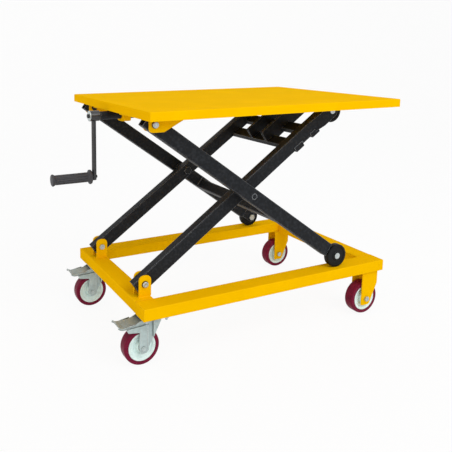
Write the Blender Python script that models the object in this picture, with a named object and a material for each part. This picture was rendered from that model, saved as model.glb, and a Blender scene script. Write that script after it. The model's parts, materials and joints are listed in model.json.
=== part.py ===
"""Mobile scissor lift table raised by a hand crank on a lead screw, built piece by piece.

Sizes are in millimetres: x from the base's left end, y from the middle plane, z from the base's top.
"""
import math

import bmesh
import bpy
from mathutils import Matrix, Vector
from mathutils.geometry import tessellate_polygon

MM = 0.001
X = (1.0, 0.0, 0.0)
Y = (0.0, 1.0, 0.0)
Z = (0.0, 0.0, 1.0)
SIDES = (("front", -1), ("rear", 1))

# Fits shared by every piece
GAP = 0.3
SHAFT_CLEARANCE = 0.3

# Base frame
BASE_LENGTH = 1014.5
BASE_WIDTH = 600.0
RAIL_WIDTH = 66.0
RAIL_HEIGHT = 41.5
RAIL_WALL = 3.0
RAIL_CORNER = 3.6
DRAIN_RADIUS = 4.0
DRAIN_INSET = 150.0

# Wheels and floor
WHEEL_RADIUS = 62.5
WHEEL_WIDTH = 38.0
HUB_RADIUS = 48.5
WHEEL_AXLE_RADIUS = 6.0
TREAD_SHOULDER = 3.0
TREAD_CROWN = 9.0
FLOOR_TO_BASE_TOP = 213.0

# Scissor
LINK_LENGTH = 924.2
REST_ANGLE = math.radians(35.15)
PIVOT_X = 43.5
ARM_HEIGHT = 50.0
ARM_WIDTH = 32.0
ARM_WALL = 3.0
ARM_CORNER = 4.0
ARM_END = 30.0
OUTER_ARM_INSET = 42.0
ARM_SPACING = 66.0
PIVOT_PIN_RADIUS = 8.0
CENTRE_PIN_RADIUS = 10.0

# Rollers and the tongues that carry them
ROLLER_RADIUS = 42.7
ROLLER_WIDTH = 22.0
ROLLER_CLEARANCE = 2.3
TONGUE_THICKNESS = 11.5
TONGUE_HEIGHT = 40.0
TONGUE_INSERT = 105.0
ROLLER_SIDE_GAP = 0.7
ROLLER_BOLT_HEAD = 11.5

# Platform
DECK_LENGTH = 1000.6
DECK_OVERHANG = 40.0
DECK_LEFT = -2.6
DECK_SKIRT = 28.0
DECK_SHEET = 3.0
DECK_BEND = 4.0

# Crank, grip and screw
SCREW_RADIUS = 11.0
SCREW_JOURNAL = 8.0
TUBE_RADIUS = 14.5
TUBE_LEFT = -27.0
TUBE_RIGHT = 120.0
HUB_LEFT = -62.0
HUB_RIGHT = -29.0
CRANK_HUB_RADIUS = 18.0
CRANK_ROD_X = -48.0
CRANK_ROD_RADIUS = 8.0
CRANK_THROW = 209.5
ROD_TAIL = 12.0
GRIP_LEFT = -200.0
GRIP_RIGHT = -60.0
GRIP_RADIUS = 16.0
SPINDLE_RADIUS = 5.0

# Levels and positions that follow from the sizes above
MIDDLE_X = (GRIP_LEFT + BASE_LENGTH) / 2
HALF_WIDTH = BASE_WIDTH / 2
OUTER_ARM_Y = HALF_WIDTH - OUTER_ARM_INSET
INNER_ARM_Y = OUTER_ARM_Y - ARM_SPACING
LOWER_PIVOT_Z = ROLLER_RADIUS + GAP
UPPER_PIVOT_Z = LOWER_PIVOT_Z + LINK_LENGTH * math.sin(REST_ANGLE)
AXLE_X = PIVOT_X + LINK_LENGTH * math.cos(REST_ANGLE)
CENTRE = LINK_LENGTH / 2
CENTRE_X = PIVOT_X + CENTRE * math.cos(REST_ANGLE)
CENTRE_Z = LOWER_PIVOT_Z + CENTRE * math.sin(REST_ANGLE)
DECK_UNDERSIDE = UPPER_PIVOT_Z + ROLLER_RADIUS + GAP
DECK_TOP = DECK_UNDERSIDE + DECK_SHEET
WHEEL_AXLE_Z = WHEEL_RADIUS - FLOOR_TO_BASE_TOP
RAIL_BOTTOM = -RAIL_HEIGHT
CRANK_GRIP_Z = UPPER_PIVOT_Z - CRANK_THROW

WORLD = Matrix.Scale(MM, 4) @ Matrix.Translation((-MIDDLE_X, 0.0, FLOOR_TO_BASE_TOP))


def frame(origin, u, v, w):
    """Matrix from a piece's own u, v, w directions (millimetres) to the world (metres)."""
    turn = Matrix((u, v, w)).transposed().to_4x4()
    return WORLD @ Matrix.Translation(origin) @ turn


ALONG_X = frame((0.0, 0.0, 0.0), Y, Z, X)
ALONG_Y = frame((0.0, 0.0, 0.0), X, Z, Y)
ALONG_Z = frame((0.0, 0.0, 0.0), X, Y, Z)


def round_x(y, z):
    return frame((0.0, y, z), Y, Z, X)


def round_y(x, z):
    return frame((x, 0.0, z), X, Z, Y)


def round_z(x, y):
    return frame((x, y, 0.0), X, Y, Z)


def make_mesh(points, faces, to_world):
    """Closed mesh with its faces turned outward."""
    mesh = bpy.data.meshes.new("shape")
    mesh.from_pydata(points, [], faces)
    shape = bmesh.new()
    shape.from_mesh(mesh)
    shape.transform(to_world)
    bmesh.ops.recalc_face_normals(shape, faces=shape.faces)
    if shape.calc_volume(signed=True) < 0.0:
        bmesh.ops.reverse_faces(shape, faces=shape.faces)
    shape.to_mesh(mesh)
    shape.free()
    return mesh


def prism(loops, start, end, to_world):
    """Solid between two copies of a flat outline; the loops after the first are holes."""
    flat = [point for loop in loops for point in loop]
    count = len(flat)
    caps = tessellate_polygon([[(u, v, 0.0) for u, v in loop] for loop in loops])
    points = [(u, v, start) for u, v in flat] + [(u, v, end) for u, v in flat]
    faces = [tuple(cap) for cap in caps] + [tuple(count + i for i in cap) for cap in caps]
    first = 0
    for loop in loops:
        for i in range(len(loop)):
            a = first + i
            b = first + (i + 1) % len(loop)
            faces.append((a, b, count + b, count + a))
        first += len(loop)
    return make_mesh(points, faces, to_world)


def section_radius(radius, kind, angle):
    """Radius at an angle for a round, hexagonal or ribbed section."""
    if kind == "hex":
        return radius / math.cos(angle % (math.pi / 3) - math.pi / 6)
    if kind == "ribbed":
        return radius - 1.2 * (round(angle / math.pi * 16) % 2)
    return radius


def turned(profile, to_world, steps=12, ring=False, phase=0.0):
    """Profile of (radius, height) or (radius, height, kind) turned about the local w axis.

    A ring profile is a closed loop round an open bore, any other runs from axis to axis.
    """
    points = []
    rows = []
    for radius, height, *kind in profile:
        if radius == 0.0:
            continue
        rows.append(list(range(len(points), len(points) + steps)))
        for i in range(steps):
            angle = 2 * math.pi * (i + phase) / steps
            r = section_radius(radius, kind[0] if kind else "round", angle)
            points.append((r * math.cos(angle), r * math.sin(angle), height))
    pairs = list(zip(rows, rows[1:]))
    faces = [] if ring else [tuple(rows[0]), tuple(rows[-1])]
    if ring:
        pairs.append((rows[-1], rows[0]))
    for low, high in pairs:
        for i in range(steps):
            j = (i + 1) % steps
            faces.append((low[i], low[j], high[j], high[i]))
    return make_mesh(points, faces, to_world)


def box(x, y, z):
    """Box from three (start, end) pairs."""
    outline = [(x[0], y[0]), (x[1], y[0]), (x[1], y[1]), (x[0], y[1])]
    return prism([outline], z[0], z[1], ALONG_Z)


def boolean(body, tool, operation):
    """Cut, join or intersect two meshes and give the result as a plain mesh."""
    holders = [bpy.data.objects.new("holder", mesh) for mesh in (body, tool)]
    for holder in holders:
        bpy.context.collection.objects.link(holder)
    step = holders[0].modifiers.new("step", "BOOLEAN")
    step.operation = operation
    step.solver = "EXACT"
    step.object = holders[1]
    graph = bpy.context.evaluated_depsgraph_get()
    result = bpy.data.meshes.new_from_object(holders[0].evaluated_get(graph))
    for holder in holders:
        bpy.data.objects.remove(holder)
    return result


def cut(body, *tools):
    for tool in tools:
        body = boolean(body, tool, "DIFFERENCE")
    return body


def unite(body, *others):
    for other in others:
        body = boolean(body, other, "UNION")
    return body


def circle(u, v, radius, steps=16):
    turn = [2 * math.pi * i / steps for i in range(steps)]
    return [(u + radius * math.cos(a), v + radius * math.sin(a)) for a in turn]


def filleted(corners, steps=3):
    """Outline with rounded corners from (u, v) or (u, v, radius) corners."""
    outline = []
    for i, corner in enumerate(corners):
        here = Vector(corner[:2])
        if len(corner) == 2:
            outline.append(tuple(here))
            continue
        back = (Vector(corners[i - 1][:2]) - here).normalized()
        ahead = (Vector(corners[(i + 1) % len(corners)][:2]) - here).normalized()
        half = back.angle(ahead) / 2
        centre = here + (back + ahead).normalized() * corner[2] / math.sin(half)
        start = here + back * corner[2] / math.tan(half) - centre
        end = here + ahead * corner[2] / math.tan(half) - centre
        sweep = math.atan2(start.x * end.y - start.y * end.x, start.dot(end))
        for step in range(steps + 1):
            turn = Matrix.Rotation(sweep * step / steps, 2)
            outline.append(tuple(centre + turn @ start))
    return outline


def rounded(u0, u1, v0, v1, radius, steps=3):
    return filleted([(u0, v0, radius), (u1, v0, radius), (u1, v1, radius), (u0, v1, radius)], steps)


def shaft(radius, start, end, to_world):
    """Plain round bar, used for shafts and for drilling."""
    return turned([(radius, start), (radius, end)], to_world, 16, phase=0.5)


# Materials
def paint_material(name, colour, roughness, metallic=0.0):
    material = bpy.data.materials.get(name)
    if material:
        return material
    material = bpy.data.materials.new(name)
    material.use_nodes = True
    shader = material.node_tree.nodes["Principled BSDF"]
    shader.inputs["Base Color"].default_value = (*colour, 1.0)
    shader.inputs["Roughness"].default_value = roughness
    shader.inputs["Metallic"].default_value = metallic
    return material


def yellow_paint():
    return paint_material("yellow_paint", (0.90, 0.48, 0.0), 0.45)


def black_paint():
    return paint_material("black_paint", (0.022, 0.024, 0.027), 0.4)


def zinc():
    return paint_material("zinc", (0.52, 0.58, 0.58), 0.35, 0.9)


def bright_steel():
    return paint_material("bright_steel", (0.60, 0.60, 0.61), 0.3, 1.0)


def dark_steel():
    return paint_material("dark_steel", (0.05, 0.05, 0.055), 0.45, 0.8)


def roller_plastic():
    return paint_material("roller_plastic", (0.020, 0.021, 0.024), 0.5)


def tread_rubber():
    return paint_material("tread_rubber", (0.16, 0.012, 0.03), 0.5)


def hub_plastic():
    return paint_material("hub_plastic", (0.70, 0.82, 0.78), 0.4)


def grip_rubber():
    return paint_material("grip_rubber", (0.035, 0.035, 0.037), 0.7)


def add(name, mesh, material, pivot):
    """Named object whose origin stands on its joint's axis (pivot in millimetres)."""
    origin = WORLD @ Vector(pivot)
    mesh.transform(Matrix.Translation(-origin))
    mesh.name = name
    mesh.materials.clear()
    mesh.materials.append(material)
    mesh.shade_smooth()
    mesh.set_sharp_from_angle(angle=math.radians(35))
    item = bpy.data.objects.new(name, mesh)
    item.location = origin
    bpy.context.collection.objects.link(item)
    return item


# Base frame
HOME = (MIDDLE_X, 0.0, 0.0)
RAIL_INNER = HALF_WIDTH - RAIL_WIDTH


def long_rail(side):
    centre = side * (HALF_WIDTH - RAIL_WIDTH / 2)
    half = RAIL_WIDTH / 2
    outer = rounded(centre - half, centre + half, RAIL_BOTTOM, 0.0, RAIL_CORNER)
    wall = RAIL_WALL
    inner = [(centre - half + wall, RAIL_BOTTOM + wall), (centre + half - wall, RAIL_BOTTOM + wall),
             (centre + half - wall, -wall), (centre - half + wall, -wall)]
    rail = prism([outer], 0.0, BASE_LENGTH, ALONG_X)
    hollow = prism([inner], wall, BASE_LENGTH - wall, ALONG_X)
    drain_places = [(BASE_LENGTH - DRAIN_INSET, centre), (DRAIN_INSET, centre)]
    low = RAIL_BOTTOM - 1.0
    high = RAIL_BOTTOM + wall + 1.0
    drains = [shaft(DRAIN_RADIUS, low, high, round_z(x, y)) for x, y in drain_places]
    return cut(rail, hollow, *drains)


def cross_rail(start):
    outer = rounded(start, start + RAIL_WIDTH, RAIL_BOTTOM, 0.0, RAIL_CORNER)
    wall = RAIL_WALL
    inner = rounded(start + wall, start + RAIL_WIDTH - wall, RAIL_BOTTOM + wall, -wall, 1.0, 1)
    half = RAIL_INNER - GAP
    return prism([outer, inner], -half, half, ALONG_Y)


def base_frame():
    paint = yellow_paint()
    for label, side in SIDES:
        add("base_rail_" + label, long_rail(side), paint, HOME)
    add("base_rail_left", unite(cross_rail(0.0), *arm_lugs()), paint, HOME)
    add("base_rail_right", cross_rail(BASE_LENGTH - RAIL_WIDTH), paint, HOME)


# Lugs and pins of the lower left pivot
LUG_LEFT = 23.0
LUG_RIGHT = 66.0
LUG_TOP = 72.0
LUG_THICKNESS = 6.0
LUG_FOOT = 2.5
PIN_HEAD_RADIUS = 10.0
PIN_HEAD = 5.0
WASHER_RADIUS = 14.0
WASHER = 2.4


def lug_faces():
    """Distances from the middle plane of one pair of lugs, inboard then outboard."""
    seat = ARM_WIDTH / 2 + GAP
    inboard = INNER_ARM_Y - seat
    outboard = INNER_ARM_Y + seat
    return (inboard - LUG_THICKNESS, inboard), (outboard, outboard + LUG_THICKNESS)


def arm_lugs():
    """Four plates standing on the left cross rail, sunk into its top wall."""
    sunk = -RAIL_WALL / 2
    outline = filleted([(LUG_LEFT - LUG_FOOT, sunk), (LUG_RIGHT - RAIL_CORNER, sunk), (LUG_RIGHT, LUG_FOOT),
                        (LUG_RIGHT, LUG_TOP, 16.0), (LUG_LEFT, LUG_TOP, 16.0), (LUG_LEFT, 2 * LUG_FOOT),
                        (LUG_LEFT - LUG_FOOT, 0.0)])
    hole = circle(PIVOT_X, LOWER_PIVOT_Z, PIVOT_PIN_RADIUS + SHAFT_CLEARANCE)
    return [prism([outline, hole], side * start, side * end, ALONG_Y)
            for label, side in SIDES for start, end in lug_faces()]


def pivot_pin(inner, outer, side, to_world):
    """Pin with a washer and a round head outboard and a hexagon nut inboard."""
    radius = PIVOT_PIN_RADIUS
    head = PIN_HEAD_RADIUS
    seat = outer + WASHER
    profile = [(0.0, seat + PIN_HEAD), (head - 1.0, seat + PIN_HEAD), (head, seat + PIN_HEAD - 1.0),
               (head, seat), (WASHER_RADIUS, seat), (WASHER_RADIUS, outer), (radius, outer),
               (radius, inner), (12.0, inner, "hex"), (12.0, inner - 7.0, "hex"), (0.0, inner - 7.0)]
    return turned([(r, side * y, *kind) for r, y, *kind in profile], to_world)


def pivot_pins(name, faces, z, pivot):
    """Pins through a pair of plates on both sides of the table."""
    (inner, _), (_, outer) = faces
    for label, side in SIDES:
        pin = pivot_pin(inner - GAP, outer + GAP, side, round_y(PIVOT_X, z))
        add(name + label, pin, bright_steel(), pivot)


# Rigid casters under the right end
RIGID_Y = HALF_WIDTH - 40.7
RIGID_WIDTH = 55.0
RIGID_SHEET = 4.0
RIGID_LENGTH = 73.7
RIGID_RIGHT = BASE_LENGTH - 11.0
RIGID_LEFT = RIGID_RIGHT - RIGID_LENGTH
RIGID_AXLE_X = RIGID_LEFT + 22.2
RIGID_FOOT_RIGHT = RIGID_LEFT + 37.4
RIGID_BOTTOM = WHEEL_AXLE_Z - 25.0
RIGID_TAPER = WHEEL_AXLE_Z + 55.5
RIGID_BEND = 4.0


def rigid_fork(centre):
    top = RAIL_BOTTOM - GAP
    half = RIGID_WIDTH / 2
    outline = filleted([(RIGID_LEFT, top), (RIGID_LEFT, RIGID_BOTTOM, 4.0),
                        (RIGID_FOOT_RIGHT, RIGID_BOTTOM, 8.0), (RIGID_RIGHT, RIGID_TAPER, 20.0),
                        (RIGID_RIGHT, top)])
    plan = filleted([(RIGID_LEFT, centre - half, RIGID_BEND), (RIGID_RIGHT, centre - half),
                     (RIGID_RIGHT, centre + half), (RIGID_LEFT, centre + half, RIGID_BEND)])
    body = prism([outline], centre - half, centre + half, ALONG_Y)
    body = boolean(body, prism([plan], RIGID_BOTTOM - 1.0, top + 1.0, ALONG_Z), "INTERSECT")
    inside = half - RIGID_SHEET
    slot = box((RIGID_LEFT - 1.0, RIGID_RIGHT + 1.0), (centre - inside, centre + inside),
               (RIGID_BOTTOM - 2.0, top - RIGID_SHEET))
    bore = shaft(WHEEL_AXLE_RADIUS + SHAFT_CLEARANCE, centre - half - 1.0, centre + half + 1.0,
                 round_y(RIGID_AXLE_X, WHEEL_AXLE_Z))
    return cut(body, slot, bore)


def axle_bolt(reach, to_world):
    """Axle with a hexagon head and nut outside a fork of the given half width."""
    seat = reach + GAP
    radius = WHEEL_AXLE_RADIUS
    profile = [(0.0, -seat - 7.0), (9.0, -seat - 7.0, "hex"), (9.0, -seat, "hex"), (radius, -seat),
               (radius, seat), (9.0, seat, "hex"), (9.0, seat + 7.0, "hex"), (radius - 1.0, seat + 7.0),
               (radius - 1.0, seat + 10.0), (0.0, seat + 10.0)]
    return turned(profile, to_world)


def wheel_tread(to_world):
    half = WHEEL_WIDTH / 2
    bore = HUB_RADIUS + GAP
    shoulder = WHEEL_RADIUS - TREAD_SHOULDER
    crown = half - TREAD_CROWN
    profile = [(bore, -half), (shoulder, -half), (WHEEL_RADIUS, -crown), (WHEEL_RADIUS, crown),
               (shoulder, half), (bore, half)]
    return turned(profile, to_world, 32, True)


def wheel_hub(to_world):
    half = WHEEL_WIDTH / 2
    bore = WHEEL_AXLE_RADIUS + SHAFT_CLEARANCE
    outside = [(bore, half), (15.0, half), (18.0, half - 7.0), (36.0, half - 7.0), (40.0, half - 1.0),
               (HUB_RADIUS, half - 1.0)]
    inside = [(r, -w) for r, w in reversed(outside)]
    return turned(outside + inside, to_world, 20, True)


def caster_wheel(label, to_world, pivot):
    add("tread_" + label, wheel_tread(to_world), tread_rubber(), pivot)
    add("hub_" + label, wheel_hub(to_world), hub_plastic(), pivot)


def rigid_casters():
    for label, side in SIDES:
        centre = side * RIGID_Y
        add("rigid_fork_" + label, rigid_fork(centre), yellow_paint(), HOME)
        to_world = frame((RIGID_AXLE_X, centre, WHEEL_AXLE_Z), X, Z, Y)
        add("rigid_axle_" + label, axle_bolt(RIGID_WIDTH / 2, to_world), bright_steel(), HOME)
        caster_wheel("right_" + label, to_world, (RIGID_AXLE_X, centre, WHEEL_AXLE_Z))


# Swivel casters under the left end; a fork's own u runs from its kingpin to the pedal
KINGPIN_X = 54.5
KINGPIN_Y = HALF_WIDTH - 67.0
PLATE_HALF_X = 42.5
PLATE_HALF_Y = 52.0
PLATE_THICKNESS = 3.0
PLATE_CORNER_CUT = 34.0
TRAIL = 38.0
FORK_WIDTH = 52.0
FORK_SHEET = 3.0
RACE_RADIUS = 33.0
RACE_HEIGHT = 8.0
FORK_BACK = -28.0
PEDAL_PIN_X = 88.0
PEDAL_PIN_Z = -78.0
PEDAL_PIN_RADIUS = 3.0
PEDAL_WIDTH = 44.0
PLATE_TOP = RAIL_BOTTOM - GAP
PLATE_BOTTOM = PLATE_TOP - PLATE_THICKNESS
FORK_TOP = PLATE_BOTTOM - GAP - RACE_HEIGHT
KINGPIN_RADIUS = 6.0


def caster_plate(side):
    """Top plate with its free inner corner cut off, and the kingpin with its nut below."""
    centre = side * KINGPIN_Y
    left = KINGPIN_X - PLATE_HALF_X
    right = KINGPIN_X + PLATE_HALF_X
    outer = centre + side * PLATE_HALF_Y
    inner = centre - side * PLATE_HALF_Y
    outline = filleted([(left, outer, 8.0), (right, outer, 8.0), (right, inner + side * PLATE_CORNER_CUT),
                        (right - PLATE_CORNER_CUT, inner), (left, inner, 8.0)])
    plate = prism([outline], PLATE_BOTTOM, PLATE_TOP, ALONG_Z)
    nut_top = FORK_TOP - FORK_SHEET - GAP
    middle = (PLATE_TOP + PLATE_BOTTOM) / 2
    profile = [(0.0, nut_top - 7.0), (9.0, nut_top - 7.0, "hex"), (9.0, nut_top, "hex"),
               (KINGPIN_RADIUS, nut_top), (KINGPIN_RADIUS, middle), (0.0, middle)]
    return unite(plate, turned(profile, round_z(KINGPIN_X, centre)))


def swivel_fork(origin, ahead, across):
    foot = WHEEL_AXLE_Z - 18.0
    pin_u, pin_v = PEDAL_PIN_X, PEDAL_PIN_Z
    outline = filleted([(FORK_BACK, FORK_TOP), (FORK_BACK, FORK_TOP - 11.0, 6.0),
                        (TRAIL - 44.0, WHEEL_AXLE_Z + 42.0, 30.0), (TRAIL - 18.0, foot + 14.0, 8.0),
                        (TRAIL - 10.0, foot, 8.0), (TRAIL + 8.0, foot, 10.0), (TRAIL + 14.0, foot + 20.0, 10.0),
                        (TRAIL + 12.0, pin_v - 16.0, 8.0), (pin_u + 4.0, pin_v - 10.0, 6.0),
                        (pin_u + 10.0, pin_v + 6.0, 4.0), (pin_u - 28.0, pin_v + 14.0, 20.0),
                        (TRAIL - 2.0, FORK_TOP)], 2)
    half = FORK_WIDTH / 2
    inside = half - FORK_SHEET
    to_world = frame(origin, ahead, Z, across)
    body = prism([outline], -half, half, to_world)
    left, right, low = FORK_BACK - 1.0, pin_u + 12.0, foot - 1.0
    slot_outline = [(left, low), (right, low), (right, FORK_TOP - FORK_SHEET), (left, FORK_TOP - FORK_SHEET)]
    body = cut(body, prism([slot_outline], -inside, inside, to_world))
    race = turned([(0.0, FORK_TOP - 1.0), (RACE_RADIUS - 4.0, FORK_TOP - 1.0),
                   (RACE_RADIUS, FORK_TOP + 1.0), (RACE_RADIUS, FORK_TOP + RACE_HEIGHT - 2.0),
                   (RACE_RADIUS - 3.0, FORK_TOP + RACE_HEIGHT), (0.0, FORK_TOP + RACE_HEIGHT)],
                  frame(origin, X, Y, Z))
    body = unite(body, race)
    kingpin = shaft(KINGPIN_RADIUS + SHAFT_CLEARANCE, FORK_TOP - 20.0, 0.0, frame(origin, X, Y, Z))
    axle_at = Vector(origin) + TRAIL * Vector(ahead)
    axle_hole = shaft(WHEEL_AXLE_RADIUS + SHAFT_CLEARANCE, -half - 1.0, half + 1.0,
                      frame((axle_at.x, axle_at.y, WHEEL_AXLE_Z), ahead, Z, across))
    pin_at = Vector(origin) + PEDAL_PIN_X * Vector(ahead)
    pin_hole = shaft(PEDAL_PIN_RADIUS + SHAFT_CLEARANCE, -half - 1.0, half + 1.0,
                     frame((pin_at.x, pin_at.y, PEDAL_PIN_Z), ahead, Z, across))
    return cut(body, kingpin, axle_hole, pin_hole)


def brake_pedal(origin, ahead, across):
    """Curved tread plate with a rolled barrel and the pin through it."""
    pin_u, pin_v = PEDAL_PIN_X, PEDAL_PIN_Z
    upper = [(pin_u + u, pin_v + v) for u, v in ((-46.0, 17.5), (-2.0, 12.0), (12.0, 9.0), (21.0, 8.6),
                                                 (28.0, 11.0), (34.0, 16.0))]
    lower = [(pin_u + u, pin_v + v) for u, v in ((36.4, 14.2), (29.6, 8.2), (21.5, 5.4), (12.0, 5.8),
                                                 (8.0, 5.5), (6.0, -2.0), (0.0, -6.5), (-6.0, -2.0),
                                                 (-8.0, 9.4), (-46.0, 14.4))]
    half = PEDAL_WIDTH / 2
    plate = prism([upper + lower], -half, half, frame(origin, ahead, Z, across))
    pin_at = Vector(origin) + PEDAL_PIN_X * Vector(ahead)
    seat = FORK_WIDTH / 2 + GAP
    radius = PEDAL_PIN_RADIUS
    profile = [(0.0, -seat - 2.0), (5.0, -seat - 2.0), (5.0, -seat), (radius, -seat), (radius, seat),
               (5.0, seat), (5.0, seat + 2.0), (0.0, seat + 2.0)]
    pin = turned(profile, frame((pin_at.x, pin_at.y, PEDAL_PIN_Z), ahead, Z, across), 12)
    return unite(plate, pin)


def swivel_casters():
    ahead = (-1.0, 0.0, 0.0)
    across = (0.0, -1.0, 0.0)
    for label, side in SIDES:
        add("caster_plate_" + label, caster_plate(side), zinc(), HOME)
        origin = (KINGPIN_X, side * KINGPIN_Y, 0.0)
        pivot = (KINGPIN_X, side * KINGPIN_Y, FORK_TOP)
        add("swivel_fork_" + label, swivel_fork(origin, ahead, across), zinc(), pivot)
        pin_at = Vector(origin) + PEDAL_PIN_X * Vector(ahead)
        add("brake_pedal_" + label, brake_pedal(origin, ahead, across), zinc(),
            (pin_at.x, pin_at.y, PEDAL_PIN_Z))
        axle_at = Vector(origin) + TRAIL * Vector(ahead)
        at = (axle_at.x, axle_at.y, WHEEL_AXLE_Z)
        to_world = frame(at, ahead, Z, across)
        add("swivel_axle_" + label, axle_bolt(FORK_WIDTH / 2, to_world), bright_steel(), pivot)
        caster_wheel("left_" + label, to_world, at)


# Scissor arms
ARM_STOP = LINK_LENGTH - ROLLER_RADIUS - ROLLER_CLEARANCE
BAR_STARTS = (CENTRE - 204.1, CENTRE - 120.1)
BAR_LENGTH = 40.5
BAR_TOP = -13.0
BAR_BOTTOM = -33.0
BRACKET_Y = 45.0
BRACKET_THICKNESS = 10.0
BRACKET_END_RADIUS = 31.0
CROSS_TUBE = 40.0
CROSS_TUBE_START = 125.0
CROSS_TUBE_WALL = 3.0
TRUNNION_RADIUS = 10.0


def arm_axes(rising):
    """Along and across directions of the arm that rises or falls to the right."""
    run = math.cos(REST_ANGLE)
    rise = math.sin(REST_ANGLE)
    if rising:
        return (run, 0.0, rise), (-rise, 0.0, run)
    return (run, 0.0, -rise), (rise, 0.0, run)


def arm_origin(rising):
    return (PIVOT_X, 0.0, LOWER_PIVOT_Z if rising else UPPER_PIVOT_Z)


def arm_side(rising):
    """Frame for outlines seen from the side: u along the arm, v across it, w = y."""
    along, across = arm_axes(rising)
    return frame(arm_origin(rising), along, across, Y)


def arm_end_on(rising):
    """Frame for sections: u = y, v across the arm, w along it."""
    along, across = arm_axes(rising)
    return frame(arm_origin(rising), Y, across, along)


def arm_drill(radius, distance, y, rising):
    reach = ARM_WIDTH / 2 + 1.0
    along, across = arm_axes(rising)
    origin = Vector(arm_origin(rising)) + distance * Vector(along)
    return shaft(radius + SHAFT_CLEARANCE, y - reach, y + reach, frame(origin, along, across, Y))


def arm_tongue(side, y, rising):
    """Flat bar welded inside the tube's end, which carries the roller."""
    wall_face = y - ARM_WIDTH / 2 + ARM_WALL
    start = side * (wall_face - 1.0)
    end = side * (wall_face + TONGUE_THICKNESS)
    half = TONGUE_HEIGHT / 2
    insert = ARM_STOP - TONGUE_INSERT
    outline = filleted([(insert, -half), (LINK_LENGTH + half, -half, half - 0.5),
                        (LINK_LENGTH + half, half, half - 0.5), (insert, half)], 6)
    hole = circle(LINK_LENGTH, 0.0, PIVOT_PIN_RADIUS + SHAFT_CLEARANCE)
    return prism([outline, hole], start, end, arm_side(rising))


def arm(side, y, rising):
    centre = side * y
    half = ARM_WIDTH / 2
    tall = ARM_HEIGHT / 2
    outer = rounded(centre - half, centre + half, -tall, tall, ARM_CORNER)
    inner = rounded(centre - half + ARM_WALL, centre + half - ARM_WALL, -tall + ARM_WALL,
                    tall - ARM_WALL, 1.5, 1)
    tube = prism([outer, inner], -ARM_END, ARM_STOP, arm_end_on(rising))
    tube = cut(tube, arm_drill(PIVOT_PIN_RADIUS, 0.0, centre, rising),
               arm_drill(CENTRE_PIN_RADIUS, CENTRE, centre, rising))
    tube = unite(tube, arm_tongue(side, y, rising))
    if rising:
        tube = cut(tube, *[notch(start, centre - half - 1.0, centre + half + 1.0) for start in BAR_STARTS])
    return tube


def bar_outline(start, margin):
    """Cross bar's section in the inner arm's own directions, grown by a margin."""
    left = CENTRE + start - margin
    right = CENTRE + start + BAR_LENGTH + margin
    return left, right, BAR_TOP + margin


def notch(start, near, far):
    left, right, top = bar_outline(start, GAP)
    outline = [(left, BAR_BOTTOM - 5.0), (right, BAR_BOTTOM - 5.0), (right, top), (left, top)]
    return prism([outline], near, far, arm_side(True))


def cross_bar(start):
    left, right, top = bar_outline(start, 0.0)
    outline = filleted([(left, BAR_BOTTOM, 3.0), (right, BAR_BOTTOM, 3.0), (right, top), (left, top)])
    reach = INNER_ARM_Y + ARM_WIDTH / 2
    return prism([outline], -reach, reach, arm_side(True))


def nut_bracket(side):
    start = CENTRE + BAR_STARTS[0]
    radius = BRACKET_END_RADIUS
    outline = filleted([(start, BAR_BOTTOM), (LINK_LENGTH + radius, BAR_BOTTOM + 2.0, radius - 0.5),
                        (LINK_LENGTH + radius, radius, radius - 0.5), (start, radius, 6.0)], 6)
    hole = circle(LINK_LENGTH, 0.0, TRUNNION_RADIUS + SHAFT_CLEARANCE)
    near = side * (BRACKET_Y - BRACKET_THICKNESS / 2)
    far = side * (BRACKET_Y + BRACKET_THICKNESS / 2)
    plate = prism([outline, hole], near, far, arm_side(True))
    low = min(near, far) - 1.0
    high = max(near, far) + 1.0
    return cut(plate, *[notch(place, low, high) for place in BAR_STARTS])


def cross_tube():
    left = CENTRE + CROSS_TUBE_START
    low = -ARM_HEIGHT / 2
    wall = CROSS_TUBE_WALL
    outer = rounded(left, left + CROSS_TUBE, low, low + CROSS_TUBE, 4.0)
    inner = rounded(left + wall, left + CROSS_TUBE - wall, low + wall, low + CROSS_TUBE - wall, 1.5, 1)
    reach = OUTER_ARM_Y - ARM_WIDTH / 2 - GAP
    return prism([outer, inner], -reach, reach, arm_side(False))


def centre_pin(side):
    """Pin with a head inboard, a spacer collar between the arms and its tail in the outer arm."""
    half = ARM_WIDTH / 2
    inner = INNER_ARM_Y - half - GAP
    collar_start = INNER_ARM_Y + half + GAP
    collar_end = OUTER_ARM_Y - half - GAP
    tail = OUTER_ARM_Y + half
    radius = CENTRE_PIN_RADIUS
    profile = [(0.0, inner - 8.0), (14.0, inner - 8.0, "hex"), (14.0, inner, "hex"), (radius, inner),
               (radius, collar_start), (16.0, collar_start), (16.0, collar_end), (radius, collar_end),
               (radius, tail), (0.0, tail)]
    return turned([(r, side * y, *kind) for r, y, *kind in profile], round_y(CENTRE_X, CENTRE_Z))


def roller_places(y):
    """Inboard face of the tongue, then both faces of the roller, from the middle plane."""
    tongue = y - ARM_WIDTH / 2 + ARM_WALL - 1.0
    near = tongue + 1.0 + TONGUE_THICKNESS + ROLLER_SIDE_GAP
    return tongue, near, near + ROLLER_WIDTH


def roller_bolt(side, y, z):
    tongue, _, far = roller_places(y)
    seat = far + GAP
    radius = PIVOT_PIN_RADIUS
    head = ROLLER_BOLT_HEAD
    profile = [(0.0, tongue - GAP - 6.0), (12.0, tongue - GAP - 6.0, "hex"), (12.0, tongue - GAP, "hex"),
               (radius, tongue - GAP), (radius, seat), (head, seat), (head, seat + 1.5),
               (head - 1.0, seat + 2.5), (0.0, seat + 2.5)]
    return turned([(r, side * w, *kind) for r, w, *kind in profile], round_y(AXLE_X, z))


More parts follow.
